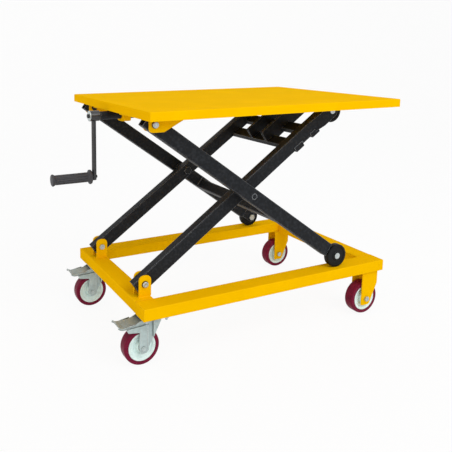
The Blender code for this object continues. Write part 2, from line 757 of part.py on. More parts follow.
def roller(side, y, z):
    _, near, far = roller_places(y)
    bore = PIVOT_PIN_RADIUS + SHAFT_CLEARANCE
    edge = 1.5
    profile = [(bore, near), (ROLLER_RADIUS - edge, near), (ROLLER_RADIUS, near + edge),
               (ROLLER_RADIUS, far - edge), (ROLLER_RADIUS - edge, far), (bore, far)]
    return turned([(r, side * w) for r, w in profile], round_y(AXLE_X, z), 32, True)


def scissor():
    paint = black_paint()
    inner_pivot = (PIVOT_X, 0.0, LOWER_PIVOT_Z)
    outer_pivot = (CENTRE_X, 0.0, CENTRE_Z)
    levels = (("upper", INNER_ARM_Y, UPPER_PIVOT_Z, inner_pivot),
              ("lower", OUTER_ARM_Y, LOWER_PIVOT_Z, outer_pivot))
    for label, side in SIDES:
        add("inner_arm_" + label, arm(side, INNER_ARM_Y, True), paint, inner_pivot)
        add("outer_arm_" + label, arm(side, OUTER_ARM_Y, False), paint, outer_pivot)
        add("nut_bracket_" + label, nut_bracket(side), paint, inner_pivot)
        add("centre_pin_" + label, centre_pin(side), dark_steel(), outer_pivot)
    for label, start in zip(("lower", "upper"), BAR_STARTS):
        add("cross_bar_" + label, cross_bar(start), paint, inner_pivot)
    add("outer_cross_tube", cross_tube(), paint, outer_pivot)
    for level, y, z, pivot in levels:
        for label, side in SIDES:
            place = "%s_%s" % (level, label)
            add("roller_bolt_" + place, roller_bolt(side, y, z), bright_steel(), pivot)
            add("roller_" + place, roller(side, y, z), roller_plastic(), (AXLE_X, side * y, z))


# Platform
UPPER_PIVOT = (PIVOT_X, 0.0, UPPER_PIVOT_Z)
CLEVIS_THICKNESS = 5.0
CLEVIS_SIDE_GAP = 1.0
CLEVIS_LEFT = 24.0
CLEVIS_DROP = 24.5
CLEVIS_FLAT = 75.0
CLEVIS_RIGHT = 209.0
STIFFENER_Y = INNER_ARM_Y - 72.0
STIFFENER_WIDTH = 40.0
STIFFENER_DEPTH = 30.0
STIFFENER_WALL = 2.5
CLEVIS_WEB = 3.0
HANGER_LEFT = 50.0
HANGER_RIGHT = 80.0
BEARING_RIGHT = DECK_LEFT + DECK_LENGTH - 5.0
BEARING_LEFT = BEARING_RIGHT - 15.0


def soften_top(mesh, height, width):
    """Round the edges that lie at a given height (millimetres) all round a sheet."""
    level = (WORLD @ Vector((0.0, 0.0, height))).z
    shape = bmesh.new()
    shape.from_mesh(mesh)
    edges = [edge for edge in shape.edges
             if all(abs(vert.co.z - level) < 1e-6 for vert in edge.verts) and edge.calc_face_angle(0.0) > 0.5]
    bmesh.ops.bevel(shape, geom=edges, offset=width * MM, segments=3, profile=0.5, affect="EDGES")
    shape.to_mesh(mesh)
    shape.free()
    return mesh


def deck():
    half = HALF_WIDTH + DECK_OVERHANG
    right = DECK_LEFT + DECK_LENGTH
    outline = rounded(DECK_LEFT, right, -half, half, DECK_BEND)
    shell = prism([outline], DECK_TOP - DECK_SKIRT, DECK_TOP, ALONG_Z)
    shell = soften_top(shell, DECK_TOP, DECK_BEND - 0.5)
    sheet = DECK_SHEET
    hollow = box((DECK_LEFT + sheet, right - sheet), (-half + sheet, half - sheet),
                 (DECK_TOP - DECK_SKIRT - 5.0, DECK_UNDERSIDE))
    return unite(cut(shell, hollow), *[stiffener(side) for label, side in SIDES])


def stiffener(side):
    """Channel welded to the sheet, open towards it."""
    left = side * STIFFENER_Y - STIFFENER_WIDTH / 2
    right = left + STIFFENER_WIDTH
    top = DECK_UNDERSIDE + DECK_SHEET / 2
    low = DECK_UNDERSIDE - STIFFENER_DEPTH
    wall = STIFFENER_WALL
    outline = [(left, top), (left, low), (right, low), (right, top), (right - wall, top),
               (right - wall, low + wall), (left + wall, low + wall), (left + wall, top)]
    margin = 4.0
    start = DECK_LEFT + DECK_SHEET + margin
    return prism([outline], start, DECK_LEFT + DECK_LENGTH - DECK_SHEET - margin, ALONG_X)


def clevis_faces():
    seat = ARM_WIDTH / 2 + CLEVIS_SIDE_GAP
    inboard = OUTER_ARM_Y - seat
    outboard = OUTER_ARM_Y + seat
    return (inboard - CLEVIS_THICKNESS, inboard), (outboard, outboard + CLEVIS_THICKNESS)


def clevis(side):
    """Folded bracket: two plates and the web that holds them to the deck."""
    top = DECK_UNDERSIDE - GAP
    low = UPPER_PIVOT_Z - CLEVIS_DROP
    outline = filleted([(CLEVIS_LEFT, top), (CLEVIS_LEFT, low, 12.0), (CLEVIS_FLAT, low, 6.0),
                        (CLEVIS_RIGHT, top)])
    (near, inboard), (outboard, far) = clevis_faces()
    body = prism([outline], side * near, side * far, ALONG_Y)
    reach = sorted((side * inboard, side * outboard))
    room = box((CLEVIS_LEFT - 1.0, CLEVIS_RIGHT + 1.0), reach, (low - 1.0, top - CLEVIS_WEB))
    bore = shaft(PIVOT_PIN_RADIUS + SHAFT_CLEARANCE, *sorted((side * (near - 1.0), side * (far + 1.0))),
                 round_y(PIVOT_X, UPPER_PIVOT_Z))
    return cut(body, room, bore)


def tube_hanger():
    """Block from the deck down round the bearing tube."""
    top = DECK_UNDERSIDE - GAP
    outline = filleted([(-34.0, top), (-22.0, UPPER_PIVOT_Z - 22.0, 8.0), (22.0, UPPER_PIVOT_Z - 22.0, 8.0),
                        (34.0, top)])
    hole = circle(0.0, UPPER_PIVOT_Z, TUBE_RADIUS + GAP)
    return prism([outline, hole], HANGER_LEFT, HANGER_RIGHT, ALONG_X)


def platform():
    paint = yellow_paint()
    add("deck", deck(), paint, UPPER_PIVOT)
    for label, side in SIDES:
        add("clevis_" + label, clevis(side), paint, UPPER_PIVOT)
    add("tube_hanger", tube_hanger(), paint, UPPER_PIVOT)
    bore = SCREW_RADIUS + SHAFT_CLEARANCE
    tube = [(bore, TUBE_LEFT), (TUBE_RADIUS, TUBE_LEFT), (TUBE_RADIUS, TUBE_RIGHT), (bore, TUBE_RIGHT)]
    add("screw_tube", turned(tube, round_x(0.0, UPPER_PIVOT_Z), 24, True), black_paint(), UPPER_PIVOT)
    top = DECK_UNDERSIDE - GAP
    outline = filleted([(-28.0, top), (-28.0, UPPER_PIVOT_Z - 20.0, 8.0), (28.0, UPPER_PIVOT_Z - 20.0, 8.0),
                        (28.0, top)])
    hole = circle(0.0, UPPER_PIVOT_Z, SCREW_JOURNAL + SHAFT_CLEARANCE)
    add("screw_end_bearing", prism([outline, hole], BEARING_LEFT, BEARING_RIGHT, ALONG_X), paint,
        UPPER_PIVOT)


# Lead screw, its nut, and the crank
SCREW_RIGHT = BEARING_LEFT - 6.0
SCREW_TAIL = BEARING_RIGHT - 3.0
NUT_RADIUS = 25.0
NUT_HALF = 25.0
CRANK_WASHER = 3.0
CRANK_BOLT_RADIUS = 4.0


def lead_nut():
    body = shaft(NUT_RADIUS, AXLE_X - NUT_HALF, AXLE_X + NUT_HALF, round_x(0.0, UPPER_PIVOT_Z))
    seat = BRACKET_Y - BRACKET_THICKNESS / 2 - GAP
    end = BRACKET_Y + BRACKET_THICKNESS / 2
    radius = TRUNNION_RADIUS
    trunnion = turned([(0.0, -end), (radius, -end), (radius, -seat), (15.0, -seat), (15.0, seat),
                       (radius, seat), (radius, end), (0.0, end)], round_y(AXLE_X, UPPER_PIVOT_Z))
    bore = shaft(SCREW_RADIUS + SHAFT_CLEARANCE, AXLE_X - NUT_HALF - 1.0, AXLE_X + NUT_HALF + 1.0,
                 round_x(0.0, UPPER_PIVOT_Z))
    return cut(unite(body, trunnion), bore)


def lead_screw():
    left = HUB_LEFT + 2.0
    bolt = CRANK_BOLT_RADIUS + SHAFT_CLEARANCE
    depth = left + 24.0
    profile = [(0.0, depth), (bolt, depth), (bolt, left), (SCREW_JOURNAL, left), (SCREW_JOURNAL, TUBE_LEFT),
               (SCREW_RADIUS, TUBE_LEFT), (SCREW_RADIUS, SCREW_RIGHT), (SCREW_JOURNAL, SCREW_RIGHT),
               (SCREW_JOURNAL, SCREW_TAIL), (0.0, SCREW_TAIL)]
    return turned(profile, round_x(0.0, UPPER_PIVOT_Z), 16)


def crank_arm():
    """Hub with the crank rod welded into it."""
    bore = SCREW_JOURNAL + SHAFT_CLEARANCE
    radius = CRANK_HUB_RADIUS
    edge = 1.5
    profile = [(bore, HUB_LEFT), (radius - edge, HUB_LEFT), (radius, HUB_LEFT + edge),
               (radius, HUB_RIGHT - edge), (radius - edge, HUB_RIGHT), (bore, HUB_RIGHT)]
    hub = turned(profile, round_x(0.0, UPPER_PIVOT_Z), 24, True)
    rod_radius = CRANK_ROD_RADIUS
    top = UPPER_PIVOT_Z - (radius + bore) / 2
    low = CRANK_GRIP_Z - ROD_TAIL
    rod_profile = [(0.0, low), (rod_radius - edge, low), (rod_radius, low + edge), (rod_radius, top),
                   (0.0, top)]
    rod = turned(rod_profile, round_z(CRANK_ROD_X, 0.0))
    drill = shaft(SPINDLE_RADIUS + SHAFT_CLEARANCE, CRANK_ROD_X - rod_radius - 1.0,
                  CRANK_ROD_X + rod_radius + 1.0, round_x(0.0, CRANK_GRIP_Z))
    return cut(unite(hub, rod), drill)


def crank_bolt():
    """Bolt with a broad washer that holds the hub on the screw."""
    seat = HUB_LEFT - GAP
    head = seat - CRANK_WASHER
    tip = HUB_LEFT + 22.0
    ring = CRANK_HUB_RADIUS
    profile = [(0.0, head - 5.3), (5.6, head - 5.3, "hex"), (6.5, head - 4.6, "hex"), (6.5, head, "hex"),
               (ring - 1.0, head), (ring, head + 1.0), (ring, seat), (CRANK_BOLT_RADIUS, seat),
               (CRANK_BOLT_RADIUS, tip), (0.0, tip)]
    return turned(profile, round_x(0.0, UPPER_PIVOT_Z))


def grip_spindle():
    face = CRANK_ROD_X + CRANK_ROD_RADIUS + GAP
    collar_right = CRANK_ROD_X - CRANK_ROD_RADIUS - GAP
    collar_left = GRIP_RIGHT + GAP
    tip = GRIP_LEFT + 12.0
    radius = SPINDLE_RADIUS
    profile = [(0.0, face + 5.0), (8.0, face + 5.0, "hex"), (8.0, face, "hex"), (radius, face),
               (radius, collar_right), (9.0, collar_right), (9.0, collar_left), (radius, collar_left),
               (radius, tip), (0.0, tip)]
    return turned(profile, round_x(0.0, CRANK_GRIP_Z))


def grip():
    """Ribbed handle with a flange beside the rod and a flared closed end."""
    bore = SPINDLE_RADIUS + SHAFT_CLEARANCE
    left = GRIP_LEFT
    right = GRIP_RIGHT
    radius = GRIP_RADIUS
    flare = radius + 4.5
    flange = radius + 9.0
    profile = [(0.0, left), (flare - 2.5, left), (flare, left + 2.5), (flare, left + 5.0),
               (flare - 3.0, left + 10.0), (radius, left + 13.0), (radius, left + 13.5, "ribbed"),
               (radius, right - 13.5, "ribbed"), (radius, right - 13.0), (radius + 2.0, right - 9.0),
               (flange, right - 6.0), (flange, right - 1.5), (flange - 1.5, right), (bore, right),
               (bore, left + 8.0), (0.0, left + 8.0)]
    return turned(profile, round_x(0.0, CRANK_GRIP_Z), 32)


def screw_and_crank():
    axis = (MIDDLE_X, 0.0, UPPER_PIVOT_Z)
    add("lead_nut", lead_nut(), dark_steel(), (AXLE_X, 0.0, UPPER_PIVOT_Z))
    add("lead_screw", lead_screw(), bright_steel(), axis)
    add("crank_arm", crank_arm(), black_paint(), axis)
    add("crank_bolt", crank_bolt(), dark_steel(), axis)
    add("grip_spindle", grip_spindle(), dark_steel(), axis)
    add("grip", grip(), grip_rubber(), (MIDDLE_X, 0.0, CRANK_GRIP_Z))


def main():
    for item in list(bpy.data.objects):
        bpy.data.objects.remove(item)
    base_frame()
    pivot_pins("lower_pivot_pin_", lug_faces(), LOWER_PIVOT_Z, HOME)
    rigid_casters()
    swivel_casters()
    scissor()
    platform()
    pivot_pins("upper_pivot_bolt_", clevis_faces(), UPPER_PIVOT_Z, UPPER_PIVOT)
    screw_and_crank()


main()
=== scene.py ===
"""Dresses a hand cranked scissor lift table with its finishes, fasteners, wheels and studio."""
import json
import math

import bmesh
import bpy
from bpy.props import FloatProperty, IntProperty, PointerProperty, StringProperty
from mathutils import Euler, Matrix, Vector


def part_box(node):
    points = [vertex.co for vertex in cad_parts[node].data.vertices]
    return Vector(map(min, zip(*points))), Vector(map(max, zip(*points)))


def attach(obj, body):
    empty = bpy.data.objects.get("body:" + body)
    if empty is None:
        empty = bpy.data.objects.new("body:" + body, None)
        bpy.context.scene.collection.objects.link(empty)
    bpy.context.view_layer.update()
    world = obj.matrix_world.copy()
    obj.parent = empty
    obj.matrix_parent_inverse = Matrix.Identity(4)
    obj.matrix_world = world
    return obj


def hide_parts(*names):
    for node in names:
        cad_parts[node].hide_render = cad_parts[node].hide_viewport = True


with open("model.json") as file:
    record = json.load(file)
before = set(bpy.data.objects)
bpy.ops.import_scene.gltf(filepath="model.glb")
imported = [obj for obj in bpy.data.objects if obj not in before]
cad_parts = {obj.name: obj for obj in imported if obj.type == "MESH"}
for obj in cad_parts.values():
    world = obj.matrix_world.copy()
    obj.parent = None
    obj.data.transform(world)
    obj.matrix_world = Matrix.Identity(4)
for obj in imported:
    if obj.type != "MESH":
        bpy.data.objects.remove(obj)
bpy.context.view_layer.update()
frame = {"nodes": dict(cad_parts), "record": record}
JOINTS = {joint["name"]: joint for joint in frame["record"]["behaviour"]["joints"]}

bl_info = {
    "name": "Scissor lift table",
    "version": (1, 0, 0),
    "blender": (4, 5, 0),
    "location": "View3D > Sidebar > Lift Table",
    "description": "Finishes, wheels, fasteners and studio of a hand cranked lift table",
    "category": "Object",
}

MM = 0.001
SIDES = (("front", -1), ("rear", 1))

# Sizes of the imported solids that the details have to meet
HUB_RADIUS = 48.5 * MM
HUB_BORE = 6.3 * MM
HUB_HALF_WIDTH = 18.8 * MM
TREAD_BORE = 48.8 * MM
TREAD_HALF_WIDTH = 19.0 * MM
ARM_HALF_HEIGHT = 25.0 * MM
ARM_HALF_WIDTH = 16.0 * MM
INNER_ARM_PLANE = 192.0 * MM
OUTER_ARM_PLANE = 258.0 * MM
PIN_RADIUS = 8.0 * MM
LUG_HALF_GAP = 22.5 * MM
FORK_HALF_WIDTH = 26.0 * MM

# Sizes of the details
CHEEK_THICKNESS = 3.0 * MM
FORK_RIDGE_RISE = 4.5 * MM
LEFT_JOURNAL = 34.0 * MM
RIGHT_JOURNAL = 18.0 * MM

WHITE = (1.0, 1.0, 1.0, 1.0)


# Settings a user would change
def size(name, text, value_mm):
    """Length property with its default in millimetres."""
    return FloatProperty(name=name, description=text, default=value_mm * MM, unit="LENGTH", precision=5)


def shade(name, text, value):
    """Colour property whose text names what has the colour."""
    text = "Colour of the %s, as sRGB hex" % text
    return StringProperty(name=name, description=text, default=value)


class LiftTableColours(bpy.types.PropertyGroup):
    """Colours of the table's finishes."""

    paint: shade("Paint", "powder coat on frame and platform", "#FDC300")
    arms: shade("Arms", "black powder coat on the arms", "#1E2023")
    tread: shade("Tread", "polyurethane treads", "#741B36")
    hub: shade("Hub", "moulded wheel hubs", "#E6FAF7")
    zinc: shade("Zinc", "plated caster forks", "#B4C5C5")
    # The pedal colour is a darker copy of the zinc: painted shade for the dark that the pedal's top reflects
    pedal: shade("Pedal", "shaded plating on the brake pedals", "#97A3A1")
    steel: shade("Steel", "plated pins and nuts", "#BEC6C6")
    blackened: shade("Blackened steel", "blackened bolts", "#303032")
    roller: shade("Roller", "nylon rollers", "#0C0E10")
    enamel: shade("Crank", "enamel on the crank", "#1B1C1F")
    grip: shade("Grip", "rubber grip", "#2D2D32")


class LiftTableSizes(bpy.types.PropertyGroup):
    """Sizes of the details."""

    thread_pitch: size("Thread pitch", "Distance between two turns of the lead screw's thread", 5.0)
    thread_depth: size("Thread depth", "Depth of the lead screw's thread", 2.2)
    bead: size("Weld bead", "Width of one ripple of a weld", 4.4)
    bead_step: size("Weld step", "Distance between two ripples of a weld", 2.6)
    edge: size("Edge radius", "Radius of the paint over sheet edges", 1.2)
    grip_ribs: IntProperty(name="Grip ribs", description="Ribs round the crank's grip", default=14, min=6)
    wheel_steps: IntProperty(name="Wheel steps", description="Faces round a wheel", default=96, min=24)


def colours():
    return bpy.context.scene.lift_table_colours


def sizes():
    return bpy.context.scene.lift_table_sizes


def linear(code):
    """sRGB hex value to linear colour."""
    values = [int(code[i:i + 2], 16) / 255 for i in (1, 3, 5)]
    return tuple(v / 12.92 if v <= 0.04045 else ((v + 0.055) / 1.055) ** 2.4 for v in values) + (1.0,)


def scaled(colour, factor):
    """Linear colour made darker or lighter."""
    return tuple(min(1.0, c * factor) for c in colour[:3]) + (1.0,)


# Colours of the painted highlights along edges and of the painted shade in zinc corners, and of the studio
# paper
YELLOW_EDGE_HIGHLIGHT = "#FFD634"
BLACK_EDGE_HIGHLIGHT = "#B4B8BE"
ENAMEL_EDGE_HIGHLIGHT = "#6C7077"
ZINC_EDGE_HIGHLIGHT = "#F4FCFC"
ZINC_SHADE = "#4A5353"
STUDIO_PAPER = "#F2F2F2"


# Materials
def add_node(tree, kind, inputs=None, links=None, **settings):
    """Adds one node with its settings, its fixed inputs and its links."""
    node = tree.nodes.new(kind)
    for key, value in settings.items():
        setattr(node, key, value)
    for key, value in (inputs or {}).items():
        node.inputs[key].default_value = value
    for key, (source, output) in (links or {}).items():
        tree.links.new(source.outputs[output], node.inputs[key])
    return node


def new_material(name, roughness, metallic=0.0, **sockets):
    """Principled material with its fixed values on the shader; gives its tree and shader."""
    material = bpy.data.materials.new(name)
    material.use_nodes = True
    tree = material.node_tree
    shader = tree.nodes["Principled BSDF"]
    shader.inputs["Roughness"].default_value = roughness
    shader.inputs["Metallic"].default_value = metallic
    for key, value in sockets.items():
        shader.inputs[key.replace("_", " ")].default_value = value
    return tree, shader


def grain(tree, scale_mm, detail=2.0, stretch=(1.0, 1.0, 1.0)):
    """Noise on object coordinates whose features are about the given size."""
    where = add_node(tree, "ShaderNodeTexCoord")
    place = add_node(tree, "ShaderNodeMapping", {"Scale": stretch}, {"Vector": (where, "Object")})
    return add_node(tree, "ShaderNodeTexNoise", {"Scale": 1.0 / (scale_mm * MM), "Detail": detail},
                    {"Vector": (place, "Vector")})


def tint(tree, shader, noise, code, dark, light, low=0.35, high=0.65):
    """Base colour that drifts between a darker and a lighter share of a colour."""
    ramp = add_node(tree, "ShaderNodeValToRGB", None, {"Fac": (noise, "Fac")})
    for stop, place, share in zip(ramp.color_ramp.elements, (low, high), (dark, light)):
        stop.position = place
        stop.color = scaled(linear(code), share)
    tree.links.new(ramp.outputs["Color"], shader.inputs["Base Color"])


def rough(tree, shader, noise, low, high):
    """Roughness that drifts between two values, so that the gloss isn't the same all over."""
    spread = add_node(tree, "ShaderNodeMapRange", {"To Min": low, "To Max": high},
                      {"Value": (noise, "Fac")})
    tree.links.new(spread.outputs["Result"], shader.inputs["Roughness"])


def relief(tree, shader, noise, height_mm, edge=0.0):
    """Bump of a given height over edges that are rounded to a given radius."""
    bump = add_node(tree, "ShaderNodeBump", {"Strength": 1.0, "Distance": height_mm * MM},
                    {"Height": (noise, "Fac")})
    if edge:
        soft = add_node(tree, "ShaderNodeBevel", {"Radius": edge}, samples=4)
        tree.links.new(soft.outputs["Normal"], bump.inputs["Normal"])
    tree.links.new(bump.outputs["Normal"], shader.inputs["Normal"])


def blend_in(tree, shader, value, start, end, strength, colour):
    """Mixes a colour into the base colour as a value goes from its start to its end."""
    mask = add_node(tree, "ShaderNodeMapRange", {"From Min": start, "From Max": end, "To Max": strength},
                    {"Value": value})
    link = shader.inputs["Base Color"].links[0]
    mix = add_node(tree, "ShaderNodeMix", {7: colour}, None, data_type="RGBA")
    tree.links.new(mask.outputs["Result"], mix.inputs[0])
    tree.links.new(link.from_socket, mix.inputs[6])
    tree.links.new(mix.outputs[2], shader.inputs["Base Color"])


def painted_edge_highlight(tree, shader, radius, colour, strength):
    """Painted highlight: mixes a paler colour into the base colour along edges, standing for the light that
    rounded edges catch.
    """
    soft = add_node(tree, "ShaderNodeBevel", {"Radius": radius}, samples=4)
    flat = add_node(tree, "ShaderNodeNewGeometry")
    same = add_node(tree, "ShaderNodeVectorMath", None, {0: (soft, "Normal"), 1: (flat, "Normal")},
                    operation="DOT_PRODUCT")
    blend_in(tree, shader, (same, "Value"), 0.985, 0.86, strength, colour)


def painted_shade(tree, shader, reach_mm, colour, strength):
    """Painted shade: darkens corners and grooves by how hidden they are from the surroundings."""
    hidden = add_node(tree, "ShaderNodeAmbientOcclusion", {"Distance": reach_mm * MM}, samples=8)
    blend_in(tree, shader, (hidden, "AO"), 0.85, 0.25, strength, colour)


def powder_coat(name, code, highlight_colour, roughness, gloss, edge, highlight_mm, scuff_mm=120.0, scuff=1.03):
    """Powder coat: even and matt, with fine orange peel and a paler line painted along its edges as
    highlight.

    Scuffs of a few millimetres break up the black coats, as handled parts show. On the yellow the
    drift is broad and faint.
    """
    tree, shader = new_material(name, roughness, Specular_IOR_Level=gloss)
    tint(tree, shader, grain(tree, scuff_mm, 4.0), code, 0.96, scuff, 0.45, 0.8)
    rough(tree, shader, grain(tree, 35.0, 3.0), roughness - 0.05, roughness + 0.06)
    relief(tree, shader, grain(tree, 1.6, 1.0), 0.02, edge)
    # Painted highlight along the edges, in the given paler colour and width
    painted_edge_highlight(tree, shader, highlight_mm * MM, linear(highlight_colour), 0.7)


def zinc_plate(name, code):
    """Zinc plating on pressed sheet: cool, cloudy and half dull, with painted highlights on its bends and
    painted shade in its corners.
    """
    tree, shader = new_material(name, 0.35, 0.25)
    tint(tree, shader, grain(tree, 14.0, 4.0), code, 0.86, 1.06)
    rough(tree, shader, grain(tree, 9.0, 4.0), 0.34, 0.5)
    relief(tree, shader, grain(tree, 2.2, 2.0), 0.015, 0.0008)
    # Painted highlight on the bends, then painted shade in the corners and grooves
    painted_edge_highlight(tree, shader, 1.8 * MM, linear(ZINC_EDGE_HIGHLIGHT), 1.0)
    painted_shade(tree, shader, 16.0, linear(ZINC_SHADE), 0.85)


def turned_steel(name, code, roughness, along):
    """Turned steel: fine rings round the axis that break up the highlight."""
    tree, shader = new_material(name, roughness, 0.8)
    stretch = [0.06, 0.06, 0.06]
    stretch["XYZ".index(along)] = 1.0
    rings = grain(tree, 0.9, 2.0, stretch)
    tint(tree, shader, rings, code, 0.82, 1.08)
    rough(tree, shader, rings, roughness - 0.06, roughness + 0.12)
    relief(tree, shader, rings, 0.01)


def cast_polyurethane():
    """Cast polyurethane: a deep, even wine red with a soft sheen and faint scuffs."""
    tree, shader = new_material("cast_polyurethane", 0.3, Specular_IOR_Level=0.06)
    tint(tree, shader, grain(tree, 18.0, 4.0), colours().tread, 0.9, 1.1)
    rough(tree, shader, grain(tree, 6.0, 4.0), 0.24, 0.38)
    relief(tree, shader, grain(tree, 1.2, 2.0), 0.02)


def moulded_polyamide(name, code, roughness, gloss):
    """Moulded polyamide: matt, a little waxy, with the fine grain of the mould."""
    tree, shader = new_material(name, roughness, Specular_IOR_Level=gloss)
    tint(tree, shader, grain(tree, 25.0, 3.0), code, 0.93, 1.04)
    rough(tree, shader, grain(tree, 8.0, 3.0), roughness - 0.06, roughness + 0.08)
    relief(tree, shader, grain(tree, 1.0, 2.0), 0.02)
    # Painted shade: rings and recesses darken towards a quarter of the colour
    painted_shade(tree, shader, 7.0, scaled(linear(code), 0.25), 0.42)


def ribbed_rubber():
    """Rubber of the grip: dull, with a dusty bloom."""
    tree, shader = new_material("ribbed_rubber", 0.5)
    tint(tree, shader, grain(tree, 10.0, 4.0), colours().grip, 0.85, 1.2)
    rough(tree, shader, grain(tree, 5.0, 3.0), 0.42, 0.6)
    relief(tree, shader, grain(tree, 0.8, 2.0), 0.03)


def material_table():
    """Every finish by its own name, made once."""
    if "powder_coated_yellow" not in bpy.data.materials:
        edge = sizes().edge
        # The third value of each powder coat is the colour of its painted edge highlight
        powder_coat("powder_coated_yellow", colours().paint, YELLOW_EDGE_HIGHLIGHT, 0.75, 0.005, edge, 1.7)
        powder_coat("powder_coated_black", colours().arms, BLACK_EDGE_HIGHLIGHT, 0.46, 0.1, 1.4 * edge, 2.4, 9.0, 2.3)
        powder_coat("satin_black_enamel", colours().enamel, ENAMEL_EDGE_HIGHLIGHT, 0.3, 0.6, edge, 1.2, 9.0, 2.0)
        zinc_plate("zinc_plated_sheet", colours().zinc)
        # Darker copy of the zinc for the pedals, as painted shade
        zinc_plate("shade_darkened_zinc", colours().pedal)
        turned_steel("plated_steel_y", colours().steel, 0.3, "Y")
        turned_steel("plated_steel_x", colours().steel, 0.3, "X")
        turned_steel("blackened_steel", colours().blackened, 0.42, "X")
        cast_polyurethane()
        moulded_polyamide("moulded_hub", colours().hub, 0.45, 0.3)
        moulded_polyamide("nylon_roller", colours().roller, 0.5, 0.19)
        ribbed_rubber()
    return bpy.data.materials


# Mesh helpers
def mesh_object(name, points, faces, smooth=35.0, bevel=0.0):
    """Closed mesh object with outward faces, sharp where it turns by more than the given angle."""
    mesh = bpy.data.meshes.new(name)
    mesh.from_pydata(points, [], faces)
    shape = bmesh.new()
    shape.from_mesh(mesh)
    bmesh.ops.recalc_face_normals(shape, faces=shape.faces)
    if bevel:
        corners = [edge for edge in shape.edges if edge.calc_face_angle(0.0) > math.radians(50.0)]
        bmesh.ops.bevel(shape, geom=corners, offset=bevel, segments=3, profile=0.5, affect="EDGES")
    if shape.calc_volume(signed=True) < 0.0:
        bmesh.ops.reverse_faces(shape, faces=shape.faces)
    shape.to_mesh(mesh)
    shape.free()
    mesh.shade_smooth()
    mesh.set_sharp_from_angle(angle=math.radians(smooth))
    piece = bpy.data.objects.new(name, mesh)
    bpy.context.collection.objects.link(piece)
    return piece


def axis_frame(at, along):
    """Matrix whose z runs along a direction at a point."""
    w = Vector(along).normalized()
    side = Vector((0, 0, 1)) if abs(w.z) < 0.9 else Vector((1, 0, 0))
    u = side.cross(w).normalized()
    return Matrix.Translation(at) @ Matrix((u, w.cross(u), w)).transposed().to_4x4()


def millimetres(points):
    """Points given in millimetres, in metres."""
    return [(x * MM, y * MM) for x, y in points]


def skin(count, rows):
    """Faces round a stack of sections with the same count of points, closed at both ends."""
    faces = [tuple(range(count)), tuple(range(count * (rows - 1), count * rows))]
    for i in range(0, count * (rows - 1), count):
        faces += [(i + j, i + (j + 1) % count, i + count + (j + 1) % count, i + count + j)
                  for j in range(count)]
    return faces


def lathe(profile, place, steps=48, shape_of=None):
    """Points and faces of a (radius, height) profile in metres turned about z of a place.

    A profile that starts and ends at radius 0 is capped, any other closes on itself round a bore.
    """
    rows = [point for point in profile if point[0] > 0.0]
    capped = len(rows) < len(profile)
    points = []
    for row, (radius, height) in enumerate(rows):
        for i in range(steps):
            angle = 2 * math.pi * i / steps
            r = shape_of(row, radius, angle) if shape_of else radius
            points.append(place @ Vector((r * math.cos(angle), r * math.sin(angle), height)))
    faces = skin(steps, len(rows))
    if not capped:
        last = (len(rows) - 1) * steps
        faces = faces[2:] + [(last + i, last + (i + 1) % steps, (i + 1) % steps, i) for i in range(steps)]
    return points, faces


def rod(radius, start, end):
    """Profile of a plain round bar between two heights."""
    return [(0.0, start), (radius, start), (radius, end), (0.0, end)]


def mirrored(front):
    """Profile of a turned piece that is the same on both faces, from the one on its front."""
    return front + [(r, -w) for r, w in reversed(front)]


def joined(parts):
    """Several (points, faces) sets as one."""
    points = []
    faces = []
    for some_points, some_faces in parts:
        start = len(points)
        points += some_points
        faces += [tuple(start + i for i in face) for face in some_faces]
    return points, faces


# Usual finish of each slot
FINISH_OF_SLOT = {
    "yellow_paint": "powder_coated_yellow",
    "black_paint": "powder_coated_black",
    "bright_steel": "plated_steel_y",
    "dark_steel": "blackened_steel",
    "zinc": "zinc_plated_sheet",
    "roller_plastic": "nylon_roller",
    "tread_rubber": "cast_polyurethane",
    "hub_plastic": "moulded_hub",
    "grip_rubber": "ribbed_rubber",
}


def put(piece, body, slot, *replaced, finish=None):
    """Gives a piece its body, the nodes it stands for, and its slot's finish or another one."""
    piece.data.materials.clear()
    piece.data.materials.append(material_table()[finish or FINISH_OF_SLOT[slot]])
    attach(piece, body)
    if replaced:
        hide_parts(*replaced)


def body_of(node):
    """Body that a node rides on."""
    for body, nodes in frame["record"]["behaviour"]["bodies"].items():
        if node in nodes:
            return body
    raise ValueError("no body holds " + node)


def middle(node):
    """Middle of a node's box."""
    low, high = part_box(node)
    return (Vector(low) + Vector(high)) / 2


def ends_across(node, side):
    """Ends of a node across the table: the one towards the given side, then the other."""
    low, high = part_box(node)
    return (high[1], low[1]) if side > 0 else (low[1], high[1])


def crossways(centre, y, side):
    """Place on the cross line through a centre, with z towards the given side."""
    return axis_frame((centre.x, y, centre.z), (0, side, 0))


def outer_reach(node):
    """How far a node reaches from the table's middle plane."""
    low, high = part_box(node)
    return max(abs(low[1]), abs(high[1]))


def arm_directions(first, last):
    """Directions along and across an arm, from the joints at its two ends."""
    along = Vector(JOINTS[last]["pos_m"]) - Vector(JOINTS[first]["pos_m"])
    along.y = 0.0
    along.normalize()
    return along, Vector((-along.z, 0.0, along.x))


def hexagon(flat, angle):
    """Radius at an angle of a hexagon with the given distance over its flats."""
    return flat / 2 / math.cos(angle % (math.pi / 3) - math.pi / 6)


def hex_nut(place, flat, height):
    """Nut or bolt head with its corners turned off; it stands on z = 0 of the place."""
    corner = flat / 2 * 1.08
    bevel = flat * 0.045
    profile = [(0.0, 0.0), (corner, 0.0), (flat * 0.577, bevel), (flat * 0.577, height - bevel),
               (corner - bevel * 0.6, height), (0.0, height)]
    return lathe(profile, place, 48, lambda row, radius, angle: min(hexagon(flat, angle), radius))


def flat_washer(place, bore, radius, height, steps=48):
    """Washer with turned edges, standing on z = 0 of the place."""
    edge = height * 0.25
    profile = [(bore, 0.0), (radius - edge, 0.0), (radius, edge), (radius, height - edge),
               (radius - edge, height), (bore, height)]
    return lathe(profile, place, steps)


